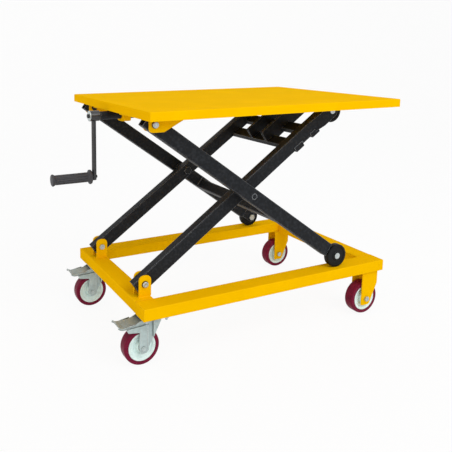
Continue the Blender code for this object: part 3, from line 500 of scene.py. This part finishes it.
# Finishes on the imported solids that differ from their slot's
FINISH_OF_NODE = {
    "centre_pin": "powder_coated_black",
    # the pedals take the darker copy of the zinc, painted shade
    "brake_pedal": "shade_darkened_zinc",
    "crank_arm": "satin_black_enamel",
}


class LIFTTABLE_OT_finishes(bpy.types.Operator):
    """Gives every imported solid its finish"""

    bl_idname = "lift_table.finishes"
    bl_label = "Finishes"

    def execute(self, context):
        finishes = material_table()
        for part in frame["record"]["subparts"]:
            solid = frame["nodes"][part["node"]]
            finish = FINISH_OF_SLOT[part["material_slot"]]
            for start, own_finish in FINISH_OF_NODE.items():
                if part["node"].startswith(start):
                    finish = own_finish
            solid.data.materials.clear()
            solid.data.materials.append(finishes[finish])
        return {"FINISHED"}


# Wheels
def tread_profile(radius):
    """Crowned tread with a narrow rim on each face where it was cast against the hub."""
    bore, half = TREAD_BORE, TREAD_HALF_WIDTH
    shoulder = 3.2 * MM
    crown = 9.0 * MM
    front = [(bore, half - 0.6 * MM), (bore + 1.6 * MM, half - 0.1 * MM), (bore + 3.2 * MM, half - 0.6 * MM),
             (radius - 5.5 * MM, half - 0.4 * MM)]
    for i in range(9):
        angle = math.pi / 2 * i / 8
        front.append((radius - shoulder + shoulder * math.sin(angle), half - crown * (1 - math.cos(angle))))
    return mirrored(front)


def turned_face(points, half):
    """Part of a face's profile from (radius, depth below the face) in millimetres."""
    return [(r * MM, half - depth * MM) for r, depth in points]


def hub_profile():
    """Moulded hub: rim, dished web with a ring groove, and a boss with its bearing seat."""
    half = HUB_HALF_WIDTH
    web = turned_face(((11.0, 3.0), (11.5, 0.0), (16.0, 0.0), (17.0, 1.0), (18.0, 9.0), (20.5, 10.5),
                       (24.5, 10.0), (25.5, 7.5), (27.5, 7.0), (28.5, 9.0), (37.0, 6.5), (39.0, 3.2),
                       (43.0, 1.2)), half)
    return mirrored([(HUB_BORE, half - 3.0 * MM)] + web
                    + [(HUB_RADIUS - 1.5 * MM, half - 0.2 * MM), (HUB_RADIUS, half - 1.4 * MM)])


def roller_profile(radius, half):
    """Nylon roller with a ring turned out of each face and rounded rims."""
    face = turned_face(((8.3, 1.0), (16.0, 0.0), (17.5, 0.0), (19.0, 2.0), (33.0, 2.0), (34.5, 0.0)), half)
    return mirrored(face + [(radius - 2.0 * MM, half), (radius - 0.6 * MM, half - 0.6 * MM),
                            (radius, half - 2.0 * MM)])


class LIFTTABLE_OT_wheels(bpy.types.Operator):
    """Makes the polyurethane treads and moulded hubs of the four casters"""

    bl_idname = "lift_table.wheels"
    bl_label = "Wheels"

    def execute(self, context):
        steps = sizes().wheel_steps
        for end in ("left", "right"):
            for label, _ in SIDES:
                corner = "%s_%s" % (end, label)
                joint = JOINTS["wheel_spin_" + corner]
                place = axis_frame(joint["pos_m"], joint["axis"])
                low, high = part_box("tread_" + corner)
                body = "wheel_" + corner
                tread = lathe(tread_profile((high[2] - low[2]) / 2), place, steps)
                put(mesh_object("cast_tread_" + corner, *tread), body, "tread_rubber", "tread_" + corner)
                hub = lathe(hub_profile(), place, steps)
                put(mesh_object("moulded_hub_" + corner, *hub), body, "hub_plastic", "hub_" + corner)
        return {"FINISHED"}


class LIFTTABLE_OT_rollers(bpy.types.Operator):
    """Makes the four nylon rollers with their turned faces, and the plates beside the upper ones"""

    bl_idname = "lift_table.rollers"
    bl_label = "Rollers"

    def execute(self, context):
        for level in ("upper", "lower"):
            for label, _ in SIDES:
                node = "roller_%s_%s" % (level, label)
                low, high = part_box(node)
                profile = roller_profile((high[2] - low[2]) / 2, (high[1] - low[1]) / 2)
                roller = lathe(profile, axis_frame(middle(node), (0, 1, 0)), 96)
                put(mesh_object("nylon_" + node, *roller), node + "_body", "roller_plastic", node)
        for label, side in SIDES:
            self.cheek(label, side)
        return {"FINISHED"}

    def cheek(self, label, side):
        """Joggled plate that carries the inner arm's outer face on past its roller, with a round end.

        It starts inside the tube's wall, so that no step shows where it leaves the arm's face. Each
        row holds the distance from the roller's axis, the half height, the inner and the outer face.
        """
        tube = outer_reach("inner_arm_" + label)
        wheel = outer_reach("roller_upper_" + label) + 0.4 * MM
        top = wheel + CHEEK_THICKNESS
        foot = tube - 0.5 * MM
        half = ARM_HALF_HEIGHT
        along, across = arm_directions("lift", "upper_roller_spin_" + label)
        tip = Vector(JOINTS["upper_roller_spin_" + label]["pos_m"])
        tip.y = 0.0
        outward = Vector((0.0, side, 0.0))
        place = Matrix.Translation(tip) @ Matrix((along, across, outward)).transposed().to_4x4()
        rows = [(-104.0 * MM, half - 3.0 * MM, tube - 2.9 * MM, tube - 2.0 * MM),
                (-56.0 * MM, half, foot, top), (-46.5 * MM, half, foot, top),
                (-46.0 * MM, half, wheel, top), (0.0, half, wheel, top)]
        for step in range(1, 16):
            turn = math.pi * step / 32
            rows.append((half * math.sin(turn), half * math.cos(turn), wheel, top))
        rows.append((half, 0.6 * MM, wheel, top))
        points = []
        for u, wide, low, high in rows:
            points += [place @ Vector((u, v, w)) for v, w in
                       ((-wide, low), (wide, low), (wide, high), (-wide, high))]
        put(mesh_object("arm_cheek_" + label, points, skin(4, len(rows))), body_of("inner_arm_" + label),
            "black_paint")


# Lead screw
def thread(start, end, radius, depth, pitch, place, steps=20):
    """Trapezoid thread between two heights, closed at both ends."""
    turns = int((end - start) / pitch)
    offsets = ((0.0, radius), (0.36, radius), (0.52, radius - depth), (0.84, radius - depth))
    count = turns * steps
    points = []
    for i in range(count + 1):
        angle = 2 * math.pi * i / steps
        for share, r in offsets:
            height = start + pitch * (i / steps + share)
            points.append(place @ Vector((r * math.cos(angle), r * math.sin(angle), height)))
    faces = []
    for i in range(count):
        for j in range(4):
            if j < 3:
                faces.append((4 * i + j, 4 * i + 4 + j, 4 * i + 5 + j, 4 * i + 1 + j))
            elif i + steps + 1 <= count:
                faces.append((4 * i + 3, 4 * i + 7, 4 * (i + steps + 1), 4 * (i + steps)))
    return points, faces


def fill_ends(piece):
    """Closes the open rims of a shape and turns its faces outward again."""
    shape = bmesh.new()
    shape.from_mesh(piece.data)
    rims = [edge for edge in shape.edges if edge.is_boundary]
    bmesh.ops.holes_fill(shape, edges=rims, sides=0)
    bmesh.ops.recalc_face_normals(shape, faces=shape.faces)
    if shape.calc_volume(signed=True) < 0.0:
        bmesh.ops.reverse_faces(shape, faces=shape.faces)
    shape.to_mesh(piece.data)
    shape.free()


class LIFTTABLE_OT_screw(bpy.types.Operator):
    """Makes the threaded lead screw with its plain journals"""

    bl_idname = "lift_table.screw"
    bl_label = "Lead screw"

    def execute(self, context):
        low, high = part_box("lead_screw")
        axis = JOINTS["crank_turn"]["pos_m"]
        place = axis_frame((0.0, axis[1], axis[2]), (1, 0, 0))
        pitch = sizes().thread_pitch
        start = low[0] + LEFT_JOURNAL
        end = high[0] - RIGHT_JOURNAL
        turning = mesh_object("screw_thread", *thread(start, end - pitch, (high[2] - low[2]) / 2,
                                                      sizes().thread_depth, pitch, place))
        fill_ends(turning)
        put(turning, "screw", "bright_steel", "lead_screw", finish="plated_steel_x")
        left = [(0.0, low[0]), (PIN_RADIUS - 1.0 * MM, low[0]), (PIN_RADIUS, low[0] + 1.0 * MM),
                (PIN_RADIUS, start + 4.0 * MM), (0.0, start + 4.0 * MM)]
        right = [(0.0, end - 3.0 * MM), (PIN_RADIUS, end - 3.0 * MM), (PIN_RADIUS, high[0] - 1.0 * MM),
                 (PIN_RADIUS - 1.0 * MM, high[0]), (0.0, high[0])]
        ends = mesh_object("screw_journals", *joined([lathe(left, place, 40), lathe(right, place, 40)]))
        put(ends, "screw", "bright_steel", finish="plated_steel_x")
        return {"FINISHED"}


# Crank
class LIFTTABLE_OT_crank(bpy.types.Operator):
    """Makes the crank's hub bolt with its washer, and the ribbed grip"""

    bl_idname = "lift_table.crank"
    bl_label = "Crank and grip"

    def execute(self, context):
        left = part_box("crank_bolt")[0][0]
        axis = JOINTS["crank_turn"]["pos_m"]
        head_height = 5.3 * MM
        seat = (left + head_height, axis[1], axis[2])
        head = hex_nut(axis_frame(seat, (-1, 0, 0)), 13.0 * MM, head_height)
        shank_place = axis_frame((left, axis[1], axis[2]), (1, 0, 0))
        shank = lathe(rod(4.0 * MM, head_height, 30.0 * MM), shank_place, 24)
        put(mesh_object("hub_bolt", *joined([head, shank])), "screw", "dark_steel", "crank_bolt")
        ring = flat_washer(axis_frame(seat, (1, 0, 0)), 4.2 * MM, 18.0 * MM, 3.0 * MM, 64)
        put(mesh_object("hub_washer", *ring), "screw", "bright_steel", finish="plated_steel_x")
        self.grip()
        return {"FINISHED"}

    def grip(self):
        """Ribbed grip with a collar at each end, on a plain rod from the crank."""
        low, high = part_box("grip")
        centre = middle("grip")
        length = (high[0] - low[0]) / MM
        ribs = sizes().grip_ribs
        profile = [(0.0, 0.0), (15.0, 0.0), (18.5, 0.6), (20.3, 2.4), (20.4, 5.0), (18.6, 8.5), (16.6, 11.5),
                   (15.9, 14.0), (15.9, 15.0), (15.9, 70.0), (15.9, 124.0), (16.0, 125.5), (17.4, 128.5),
                   (21.5, 131.5), (24.8, 133.6), (25.0, 136.0), (24.2, 139.0), (22.0, length),
                   (5.3, length), (5.3, length - 90.0), (0.0, length - 90.0)]

        def ribbed(row, radius, angle):
            if 7 <= row <= 9:
                return radius + 0.9 * MM * math.cos(ribs * angle)
            return radius

        place = axis_frame((low[0], centre.y, centre.z), (1, 0, 0))
        points, faces = lathe(millimetres(profile), place, ribs * 8, ribbed)
        put(mesh_object("ribbed_grip", points, faces, 50.0), "crank_grip", "grip_rubber", "grip")
        low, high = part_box("grip_spindle")
        reach = high[0] - low[0] - 3.0 * MM
        profile = [(0.0, 0.0), (5.0 * MM, 0.0), (5.0 * MM, reach - 0.8 * MM), (4.2 * MM, reach), (0.0, reach)]
        spindle = lathe(profile, axis_frame((low[0], centre.y, centre.z), (1, 0, 0)), 32)
        put(mesh_object("grip_rod", *spindle), body_of("grip_spindle"), "black_paint", "grip_spindle",
            finish="satin_black_enamel")


# Fasteners
def turned_head(place, radius, height):
    """Round pin head with a small domed edge, standing on z = 0 of the place."""
    profile = [(0.0, 0.0), (radius, 0.0), (radius, height - 1.4 * MM), (radius - 0.4 * MM, height - 0.6 * MM),
               (radius - 1.4 * MM, height), (radius * 0.45, height), (radius * 0.3, height - 0.5 * MM),
               (0.0, height - 0.5 * MM)]
    return lathe(profile, place, 48)


# Slot of the nuts on the lower and upper pivot pins; the upper nuts are blackened as painted shade, since
# they sit in shadow
PIVOT_NUT_SLOT = {"lower": "bright_steel", "upper": "dark_steel"}


def pivot_fittings(node, side, level, label):
    """Washer, round head outboard and hexagon nut inboard of one pivot pin."""
    head_height, nut_height, washer_height = 5.0 * MM, 7.0 * MM, 2.4 * MM
    outer, inner = ends_across(node, side)
    centre = middle(node)
    body = body_of(node)
    face = outer - side * head_height
    seat = inner + side * nut_height
    head = turned_head(crossways(centre, face, side), 10.0 * MM, head_height)
    shank = lathe(rod(PIN_RADIUS, 0.0, abs(face - seat)), crossways(centre, seat, side), 32)
    name = "%s_%s" % (level, label)
    put(mesh_object("pin_" + name, *joined([head, shank])), body, "bright_steel", node)
    nut = hex_nut(crossways(centre, seat, -side), 19.0 * MM, nut_height)
    put(mesh_object("pin_nut_" + name, *nut), body, PIVOT_NUT_SLOT[level])
    # The washer is blackened to draw a thin dark ring round the head: painted shade for the head's shaded
    # side
    ring_place = crossways(centre, face - side * washer_height, side)
    ring = flat_washer(ring_place, 8.2 * MM, 11.5 * MM, washer_height)
    put(mesh_object("washer_" + name, *ring), body, "dark_steel")


def through_bolt(node, side, flat):
    """Bolt with its hexagon head at one end and its nut and thread end on the given side."""
    height = 7.0 * MM
    tip = height + 3.0 * MM
    nut_end, head_end = ends_across(node, side)
    nut_at = nut_end - side * tip
    head_at = head_end + side * height
    onward = crossways(middle(node), nut_at, side)
    back = crossways(middle(node), head_at, -side)
    thread_end = [(0.0, 0.0), (flat * 0.29, 0.0), (flat * 0.29, tip - 1.0 * MM), (flat * 0.25, tip),
                  (0.0, tip)]
    shank = rod(flat / 3, -abs(nut_at - head_at), 0.0)
    return joined([hex_nut(onward, flat, height), hex_nut(back, flat, height),
                   lathe(thread_end, onward, 32), lathe(shank, onward, 32)])


class LIFTTABLE_OT_fasteners(bpy.types.Operator):
    """Makes the pivot pins, roller bolts and caster axles"""

    bl_idname = "lift_table.fasteners"
    bl_label = "Fasteners"

    def execute(self, context):
        for label, side in SIDES:
            pivot_fittings("lower_pivot_pin_" + label, side, "lower", label)
            pivot_fittings("upper_pivot_bolt_" + label, side, "upper", label)
            for level in ("upper", "lower"):
                lift = CHEEK_THICKNESS if level == "upper" else 0.0
                self.roller_bolt("roller_bolt_%s_%s" % (level, label), side, lift)
            for end, start, flat, finish in (("right", "rigid_axle_", 18.0 * MM, "plated_steel_y"),
                                             ("left", "swivel_axle_", 14.0 * MM, "zinc_plated_sheet")):
                node = start + label
                wheel_y = JOINTS["wheel_spin_%s_%s" % (end, label)]["pos_m"][1]
                nut_side = 1 if middle(node).y > wheel_y else -1
                bolt = through_bolt(node, nut_side, flat)
                put(mesh_object("fitted_" + node, *bolt), body_of(node), "bright_steel", node, finish=finish)
        return {"FINISHED"}

    def roller_bolt(self, node, side, lift):
        """Shoulder bolt with a flat round head, raised by what lies under it, and a nut behind the arm."""
        nut_height = 6.0 * MM
        outer, inner = ends_across(node, side)
        outer += side * lift
        length = abs(outer - inner) - nut_height
        head = millimetres([(0.0, 0.4), (4.5, 0.4), (5.0, 0.0), (10.6, 0.0), (11.3, 0.3), (11.5, 0.9),
                            (11.5, 2.5), (8.0, 2.5)]) + [(PIN_RADIUS, length), (0.0, length)]
        shoulder = lathe(head, crossways(middle(node), outer, -side), 48)
        nut = hex_nut(crossways(middle(node), inner + side * nut_height, -side), 24.0 * MM, nut_height)
        put(mesh_object("fitted_" + node, *joined([shoulder, nut])), body_of(node), "bright_steel", node)


# Caster sheet metal
def slab(outline, low, high, place):
    """Points and faces of an outline given across z of a place, between two heights."""
    points = [place @ Vector((x, y, z)) for z in (low, high) for x, y in outline]
    return points, skin(len(outline), 2)


def both_legs(outline, near, far, place):
    """The same slab on both sides of a caster's middle."""
    return [slab(outline, near, far, place), slab(outline, -far, -near, place)]


def headings(path):
    """Direction of a path at each of its points."""
    last = len(path) - 1
    return [(Vector(path[min(i + 1, last)]) - Vector(path[max(i - 1, 0)])).normalized()
            for i in range(len(path))]


def ribbon(path, width):
    """Outline of a strip of even width along the left of a path."""
    far = [(x - ahead.y * width, y + ahead.x * width) for (x, y), ahead in zip(path, headings(path))]
    return path + far[::-1]


def swept(section, path, place):
    """Points and faces of a section (across, depth) led along a path, closed at both ends."""
    points = [place @ Vector((x - ahead.y * depth, y + ahead.x * depth, across))
              for (x, y), ahead in zip(path, headings(path)) for across, depth in section]
    return points, skin(len(section), len(path))


def swivel_place(joint):
    """Frame of a swivel caster at one of its joints: x to the pedal, y up, z to the table's front."""
    turn = Matrix(((-1, 0, 0), (0, 0, 1), (0, -1, 0))).transposed().to_4x4()
    return Matrix.Translation(JOINTS[joint]["pos_m"]) @ turn


# Outlines in a swivel caster's frame
FORK_RIDGE = millimetres([(-17, 80), (-17, -10), (-10, -17), (8, -18.3), (14.3, 2), (12.3, 56.3),
                          (53, 62.2), (58, 74), (48, 75.5), (16, 77)])
FORK_HEEL = millimetres([(-35, 88), (-35, 32), (-43, 46), (-62.5, 86), (-62.5, 91)])
PEDAL_TOP = millimetres([(34.4, 16.7), (28, 11.8), (21, 9.4), (12, 9.8), (-2, 12.8), (-24, 15.6)])


class LIFTTABLE_OT_casters(bpy.types.Operator):
    """Makes the pressed ridges and pedal rims of the swivel casters and the bolts of their plates"""

    bl_idname = "lift_table.casters"
    bl_label = "Caster details"

    def execute(self, context):
        for label, _ in SIDES:
            self.ridges(label)
            self.pedal_rims(label)
            self.plate_bolts(label)
        return {"FINISHED"}

    def ridges(self, label):
        """Ridge and heel pressed outward on both legs of the fork, each with a bead along it."""
        place = swivel_place("wheel_spin_left_" + label)
        top = FORK_HALF_WIDTH + FORK_RIDGE_RISE
        parts = []
        for outline in (FORK_RIDGE, FORK_HEEL):
            parts += both_legs(outline, FORK_HALF_WIDTH - 1.5 * MM, top, place)
        for inner, outer, low, high in ((-18.0, -13.5, -8.0, 78.0), (-39.0, -34.5, 36.0, 89.0)):
            bead = millimetres([(inner, low), (outer, low), (outer, high), (inner, high)])
            parts += both_legs(bead, FORK_HALF_WIDTH, top + 1.6 * MM, place)
        put(mesh_object("fork_ridges_" + label, *joined(parts), bevel=1.3 * MM),
            body_of("swivel_fork_" + label), "zinc")

    def pedal_rims(self, label):
        """Broad tread of the pedal with turned down rims that run along the outside of the fork."""
        place = swivel_place("brake_release_" + label)
        outer, inner, sheet, drop = 28.6 * MM, 26.6 * MM, 2.6 * MM, 7.0 * MM
        channel = [(outer, 0.0), (-outer, 0.0), (-outer, drop), (-inner, drop), (-inner, sheet),
                   (inner, sheet), (inner, drop), (outer, drop)]
        parts = [swept(channel, PEDAL_TOP[:5], place)]
        parts += both_legs(ribbon(PEDAL_TOP[4:], 5.0 * MM), inner, outer, place)
        put(mesh_object("pedal_rims_" + label, *joined(parts), bevel=0.5 * MM),
            body_of("brake_pedal_" + label), "zinc", finish="shade_darkened_zinc")

    def plate_bolts(self, label):
        """Four bolts that hold the caster's plate under the frame."""
        pin = JOINTS["swivel_turn_" + label]["pos_m"]
        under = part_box("caster_plate_" + label)[1][2] - 3.0 * MM
        washer_height = 1.6 * MM
        stud = millimetres([(0.0, 1.0), (3.9, 1.0), (3.9, 14.0), (3.2, 14.7), (0.0, 14.7)])
        parts = []
        for x in (-36.0 * MM, 36.0 * MM):
            for y in (-44.0 * MM, 44.0 * MM):
                place = axis_frame((pin[0] + x, pin[1] + y, under), (0, 0, -1))
                parts.append(flat_washer(place, 4.2 * MM, 7.8 * MM, washer_height, 32))
                parts.append(lathe(stud, place, 24))
                place = axis_frame((pin[0] + x, pin[1] + y, under - washer_height), (0, 0, -1))
                parts.append(hex_nut(place, 13.0 * MM, 6.5 * MM))
        put(mesh_object("plate_bolts_" + label, *joined(parts)), "base", "bright_steel")


# Repeats by Geometry Nodes
def node_group(name, inputs):
    """Empty geometry tree with a geometry input and output and named inputs."""
    tree = bpy.data.node_groups.new(name, "GeometryNodeTree")
    tree.interface.new_socket(name="Geometry", in_out="OUTPUT", socket_type="NodeSocketGeometry")
    tree.interface.new_socket(name="Geometry", in_out="INPUT", socket_type="NodeSocketGeometry")
    for label, kind, value in inputs:
        socket = tree.interface.new_socket(name=label, in_out="INPUT", socket_type=kind)
        socket.default_value = value
    return tree


def run_group(piece, tree, values):
    """Runs a tree on a piece with its inputs set by identifier, and keeps the result as a plain mesh."""
    step = piece.modifiers.new(tree.name, "NODES")
    step.node_group = tree
    for socket in tree.interface.items_tree:
        if socket.in_out == "INPUT" and socket.name in values:
            step[socket.identifier] = values[socket.name]
    graph = bpy.context.evaluated_depsgraph_get()
    mesh = bpy.data.meshes.new_from_object(piece.evaluated_get(graph))
    piece.modifiers.remove(step)
    piece.data = mesh
    mesh.shade_smooth()


def bead_tree(material):
    """Ripples of weld along the edges of a guide: a ball at each step of the seam."""
    sockets = (("Width", "NodeSocketFloat", 0.004), ("Step", "NodeSocketFloat", 0.003))
    tree = node_group("weld_ripples", sockets)
    source = add_node(tree, "NodeGroupInput")
    path = add_node(tree, "GeometryNodeMeshToCurve", None, {"Mesh": (source, "Geometry")})
    spread = add_node(tree, "GeometryNodeResampleCurve", None,
                      {"Curve": (path, "Curve"), "Length": (source, "Step")}, mode="LENGTH")
    points = add_node(tree, "GeometryNodeCurveToPoints", None, {"Curve": (spread, "Curve")},
                      mode="EVALUATED")
    ball = add_node(tree, "GeometryNodeMeshIcoSphere", {"Radius": 0.5, "Subdivisions": 2})
    copies = add_node(tree, "GeometryNodeInstanceOnPoints", None,
                      {"Points": (points, "Points"), "Instance": (ball, "Mesh"), "Scale": (source, "Width")})
    real = add_node(tree, "GeometryNodeRealizeInstances", None, {"Geometry": (copies, "Instances")})
    paint = add_node(tree, "GeometryNodeSetMaterial", {"Material": material},
                     {"Geometry": (real, "Geometry")})
    add_node(tree, "NodeGroupOutput", None, {"Geometry": (paint, "Geometry")})
    return tree


def seams(name, paths, body, slot):
    """One mesh of weld ripples along several seams, each given by its points."""
    points = []
    edges = []
    for path in paths:
        start = len(points)
        points += path
        edges += [(start + i, start + i + 1) for i in range(len(path) - 1)]
    mesh = bpy.data.meshes.new(name)
    mesh.from_pydata(points, edges, [])
    piece = bpy.data.objects.new(name, mesh)
    bpy.context.collection.objects.link(piece)
    tree = bead_tree(material_table()[FINISH_OF_SLOT[slot]])
    run_group(piece, tree, {"Width": sizes().bead, "Step": sizes().bead_step})
    put(piece, body, slot)


class LIFTTABLE_OT_welds(bpy.types.Operator):
    """Makes the weld seams of the base, of the arms' cross tube and at the centre pins"""

    bl_idname = "lift_table.welds"
    bl_label = "Weld seams"

    def execute(self, context):
        self.base()
        self.arms()
        return {"FINISHED"}

    def base(self):
        """Seams at the lugs and at the tops of the fixed forks."""
        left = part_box("lower_pivot_pin_front")[0][0] - 6.0 * MM
        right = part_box("base_rail_left")[1][0] - 5.0 * MM
        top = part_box("base_rail_right")[1][2] - 0.6 * MM
        paths = []
        for label, side in SIDES:
            plane = side * INNER_ARM_PLANE
            for y in (plane - LUG_HALF_GAP, plane + LUG_HALF_GAP):
                paths.append([(left, y, top), (right, y, top)])
            low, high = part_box("rigid_fork_" + label)
            for y in (low[1] + 0.4 * MM, high[1] - 0.4 * MM):
                paths.append([(low[0] + 3.0 * MM, y, high[2]), (high[0] - 3.0 * MM, y, high[2])])
        seams("base_welds", paths, "base", "yellow_paint")

    def arms(self):
        """Seams round the cross tube's ends and round the centre pins."""
        centre = Vector(JOINTS["scissor_centre"]["pos_m"])
        centre.y = 0.0
        along, across = arm_directions("platform_pivot", "lower_roller_spin_front")
        square = millimetres([(124.0, -21.0), (166.0, -21.0), (166.0, 21.0), (124.0, 21.0), (124.0, -21.0)])
        turns = [2 * math.pi * i / 24 for i in range(25)]
        ring = [(9.5 * MM * math.cos(turn), 9.5 * MM * math.sin(turn)) for turn in turns]
        paths = []
        for outline, depth in ((square, -ARM_HALF_WIDTH - 0.6 * MM), (ring, ARM_HALF_WIDTH + 0.2 * MM)):
            for _, side in SIDES:
                wall = Vector((0.0, side * (OUTER_ARM_PLANE + depth), 0.0))
                paths.append([tuple(centre + wall + along * a + across * b) for a, b in outline])
        seams("outer_arm_welds", paths, body_of("outer_cross_tube"), "black_paint")


# Studio
def direct_rays(tree):
    """One for what the camera, gloss and clear pieces see, nought for the rays that light the table."""
    rays = add_node(tree, "ShaderNodeLightPath")
    seen = add_node(tree, "ShaderNodeMath", None, {0: (rays, "Is Camera Ray"), 1: (rays, "Is Glossy Ray")},
                    operation="MAXIMUM")
    return add_node(tree, "ShaderNodeMath", None, {0: (seen, 0), 1: (rays, "Is Transmission Ray")},
                    operation="MAXIMUM")


def lead_out(tree, shader, kind):
    """Leads a shader into the surface of the tree's output."""
    output = next(node for node in tree.nodes if node.type == kind)
    tree.links.new(shader.outputs[0], output.inputs["Surface"])


# Name, place, width in metres, power in watts and colour of each lamp
LAMPS = (
    ("key", (1.0, -4.1, 4.0), 4.0, 128.0, (1.0, 1.0, 1.0)),
    ("top", (0.2, 0.6, 4.6), 3.5, 6.0, (1.0, 1.0, 1.0)),
    ("fill", (-4.8, -1.0, 1.6), 3.0, 34.0, (1.0, 0.74, 0.5)),
)
LAMP_TARGET = (0.1, 0.0, 0.45)
TILT_DOWN = 8.982
TURN_RIGHT = 24.39


class LIFTTABLE_OT_stage(bpy.types.Operator):
    """Makes the floor, lights and camera"""

    bl_idname = "lift_table.stage"
    bl_label = "Studio"

    def execute(self, context):
        self.floor()
        self.world()
        for lamp in LAMPS:
            self.lamp(*lamp)
        self.camera()
        context.scene.view_settings.view_transform = "Standard"
        return {"FINISHED"}

    def floor(self):
        """Pale floor that curves up into a backdrop; it is clear from below."""
        profile = [(-6.0, 0.0), (3.0, 0.0)]
        for i in range(1, 13):
            angle = math.pi / 2 * i / 12
            profile.append((3.0 + 2.0 * math.sin(angle), 2.0 - 2.0 * math.cos(angle)))
        profile.append((5.0, 7.0))
        points = [(x, y, z) for y, z in profile for x in (-9.0, 9.0)]
        faces = [(2 * i, 2 * i + 1, 2 * i + 3, 2 * i + 2) for i in range(len(profile) - 1)]
        mesh = bpy.data.meshes.new("studio_floor")
        mesh.from_pydata(points, [], faces)
        mesh.shade_smooth()
        floor = bpy.data.objects.new("studio_floor", mesh)
        bpy.context.collection.objects.link(floor)
        tree, shader = new_material("studio_paper", 0.9)
        shader.inputs["Base Color"].default_value = linear(STUDIO_PAPER)
        glow = add_node(tree, "ShaderNodeEmission", {"Color": WHITE, "Strength": 1.0})
        share = add_node(tree, "ShaderNodeMath", {1: 0.92}, {0: (direct_rays(tree), 0)},
                         operation="MULTIPLY")
        paper = add_node(tree, "ShaderNodeMixShader", None, {0: (share, 0), 1: (shader, 0), 2: (glow, 0)})
        side = add_node(tree, "ShaderNodeNewGeometry")
        air = add_node(tree, "ShaderNodeBsdfTransparent")
        blend = add_node(tree, "ShaderNodeMixShader", None,
                         {0: (side, "Backfacing"), 1: (paper, 0), 2: (air, 0)})
        lead_out(tree, blend, "OUTPUT_MATERIAL")
        floor.data.materials.append(bpy.data.materials["studio_paper"])

    def world(self):
        """White surroundings that light the table less than they show."""
        world = bpy.data.worlds.new("studio_air")
        bpy.context.scene.world = world
        world.use_nodes = True
        tree = world.node_tree
        sky = tree.nodes["Background"]
        sky.inputs["Color"].default_value = WHITE
        sky.inputs["Strength"].default_value = 0.62
        seen = add_node(tree, "ShaderNodeBackground", {"Color": WHITE, "Strength": 1.0})
        blend = add_node(tree, "ShaderNodeMixShader", None,
                         {0: (direct_rays(tree), 0), 1: (sky, 0), 2: (seen, 0)})
        lead_out(tree, blend, "OUTPUT_WORLD")

    def lamp(self, name, place, width, power, colour):
        """Square lamp turned towards the table."""
        light = bpy.data.lights.new("studio_" + name, "AREA")
        light.shape = "SQUARE"
        light.size = width
        light.energy = power
        light.color = colour
        lamp = bpy.data.objects.new("studio_" + name, light)
        lamp.location = place
        aim = Vector(LAMP_TARGET) - Vector(place)
        lamp.rotation_euler = aim.to_track_quat("-Z", "Y").to_euler()
        bpy.context.collection.objects.link(lamp)

    def camera(self):
        """Camera at the photograph's place; the shift holds the photograph's off-centre framing."""
        eye = bpy.data.cameras.new("studio_camera")
        eye.sensor_width = 36.0
        eye.lens = 44.98
        eye.shift_x = 0.2088
        eye.shift_y = -0.2014
        eye.clip_start = 0.05
        camera = bpy.data.objects.new("studio_camera", eye)
        camera.location = (-1.12085, -1.7791, 1.0224)
        camera.rotation_euler = Euler((math.radians(90.0 - TILT_DOWN), 0.0, -math.radians(TURN_RIGHT)))
        bpy.context.collection.objects.link(camera)
        bpy.context.scene.camera = camera


# Panel and registration
STEPS = (
    LIFTTABLE_OT_finishes,
    LIFTTABLE_OT_wheels,
    LIFTTABLE_OT_rollers,
    LIFTTABLE_OT_screw,
    LIFTTABLE_OT_crank,
    LIFTTABLE_OT_fasteners,
    LIFTTABLE_OT_casters,
    LIFTTABLE_OT_welds,
    LIFTTABLE_OT_stage,
)


class LIFTTABLE_PT_panel(bpy.types.Panel):
    """Sidebar panel with the table's colours and sizes, and a button for each step"""

    bl_idname = "LIFTTABLE_PT_panel"
    bl_label = "Lift table"
    bl_space_type = "VIEW_3D"
    bl_region_type = "UI"
    bl_category = "Lift Table"

    def draw(self, context):
        for group in (colours(), sizes()):
            for key in type(group).__annotations__:
                self.layout.prop(group, key)
        for step in STEPS:
            self.layout.operator(step.bl_idname)


CLASSES = (LiftTableColours, LiftTableSizes) + STEPS + (LIFTTABLE_PT_panel,)


def register():
    for item in CLASSES:
        bpy.utils.register_class(item)
    bpy.types.Scene.lift_table_colours = PointerProperty(type=LiftTableColours)
    bpy.types.Scene.lift_table_sizes = PointerProperty(type=LiftTableSizes)


def unregister():
    del bpy.types.Scene.lift_table_sizes
    del bpy.types.Scene.lift_table_colours
    for item in reversed(CLASSES):
        bpy.utils.unregister_class(item)


def main():
    register()
    bpy.ops.lift_table.finishes()
    bpy.ops.lift_table.wheels()
    bpy.ops.lift_table.rollers()
    bpy.ops.lift_table.screw()
    bpy.ops.lift_table.crank()
    bpy.ops.lift_table.fasteners()
    bpy.ops.lift_table.casters()
    bpy.ops.lift_table.welds()
    bpy.ops.lift_table.stage()


if __name__ == "__main__":
    main()
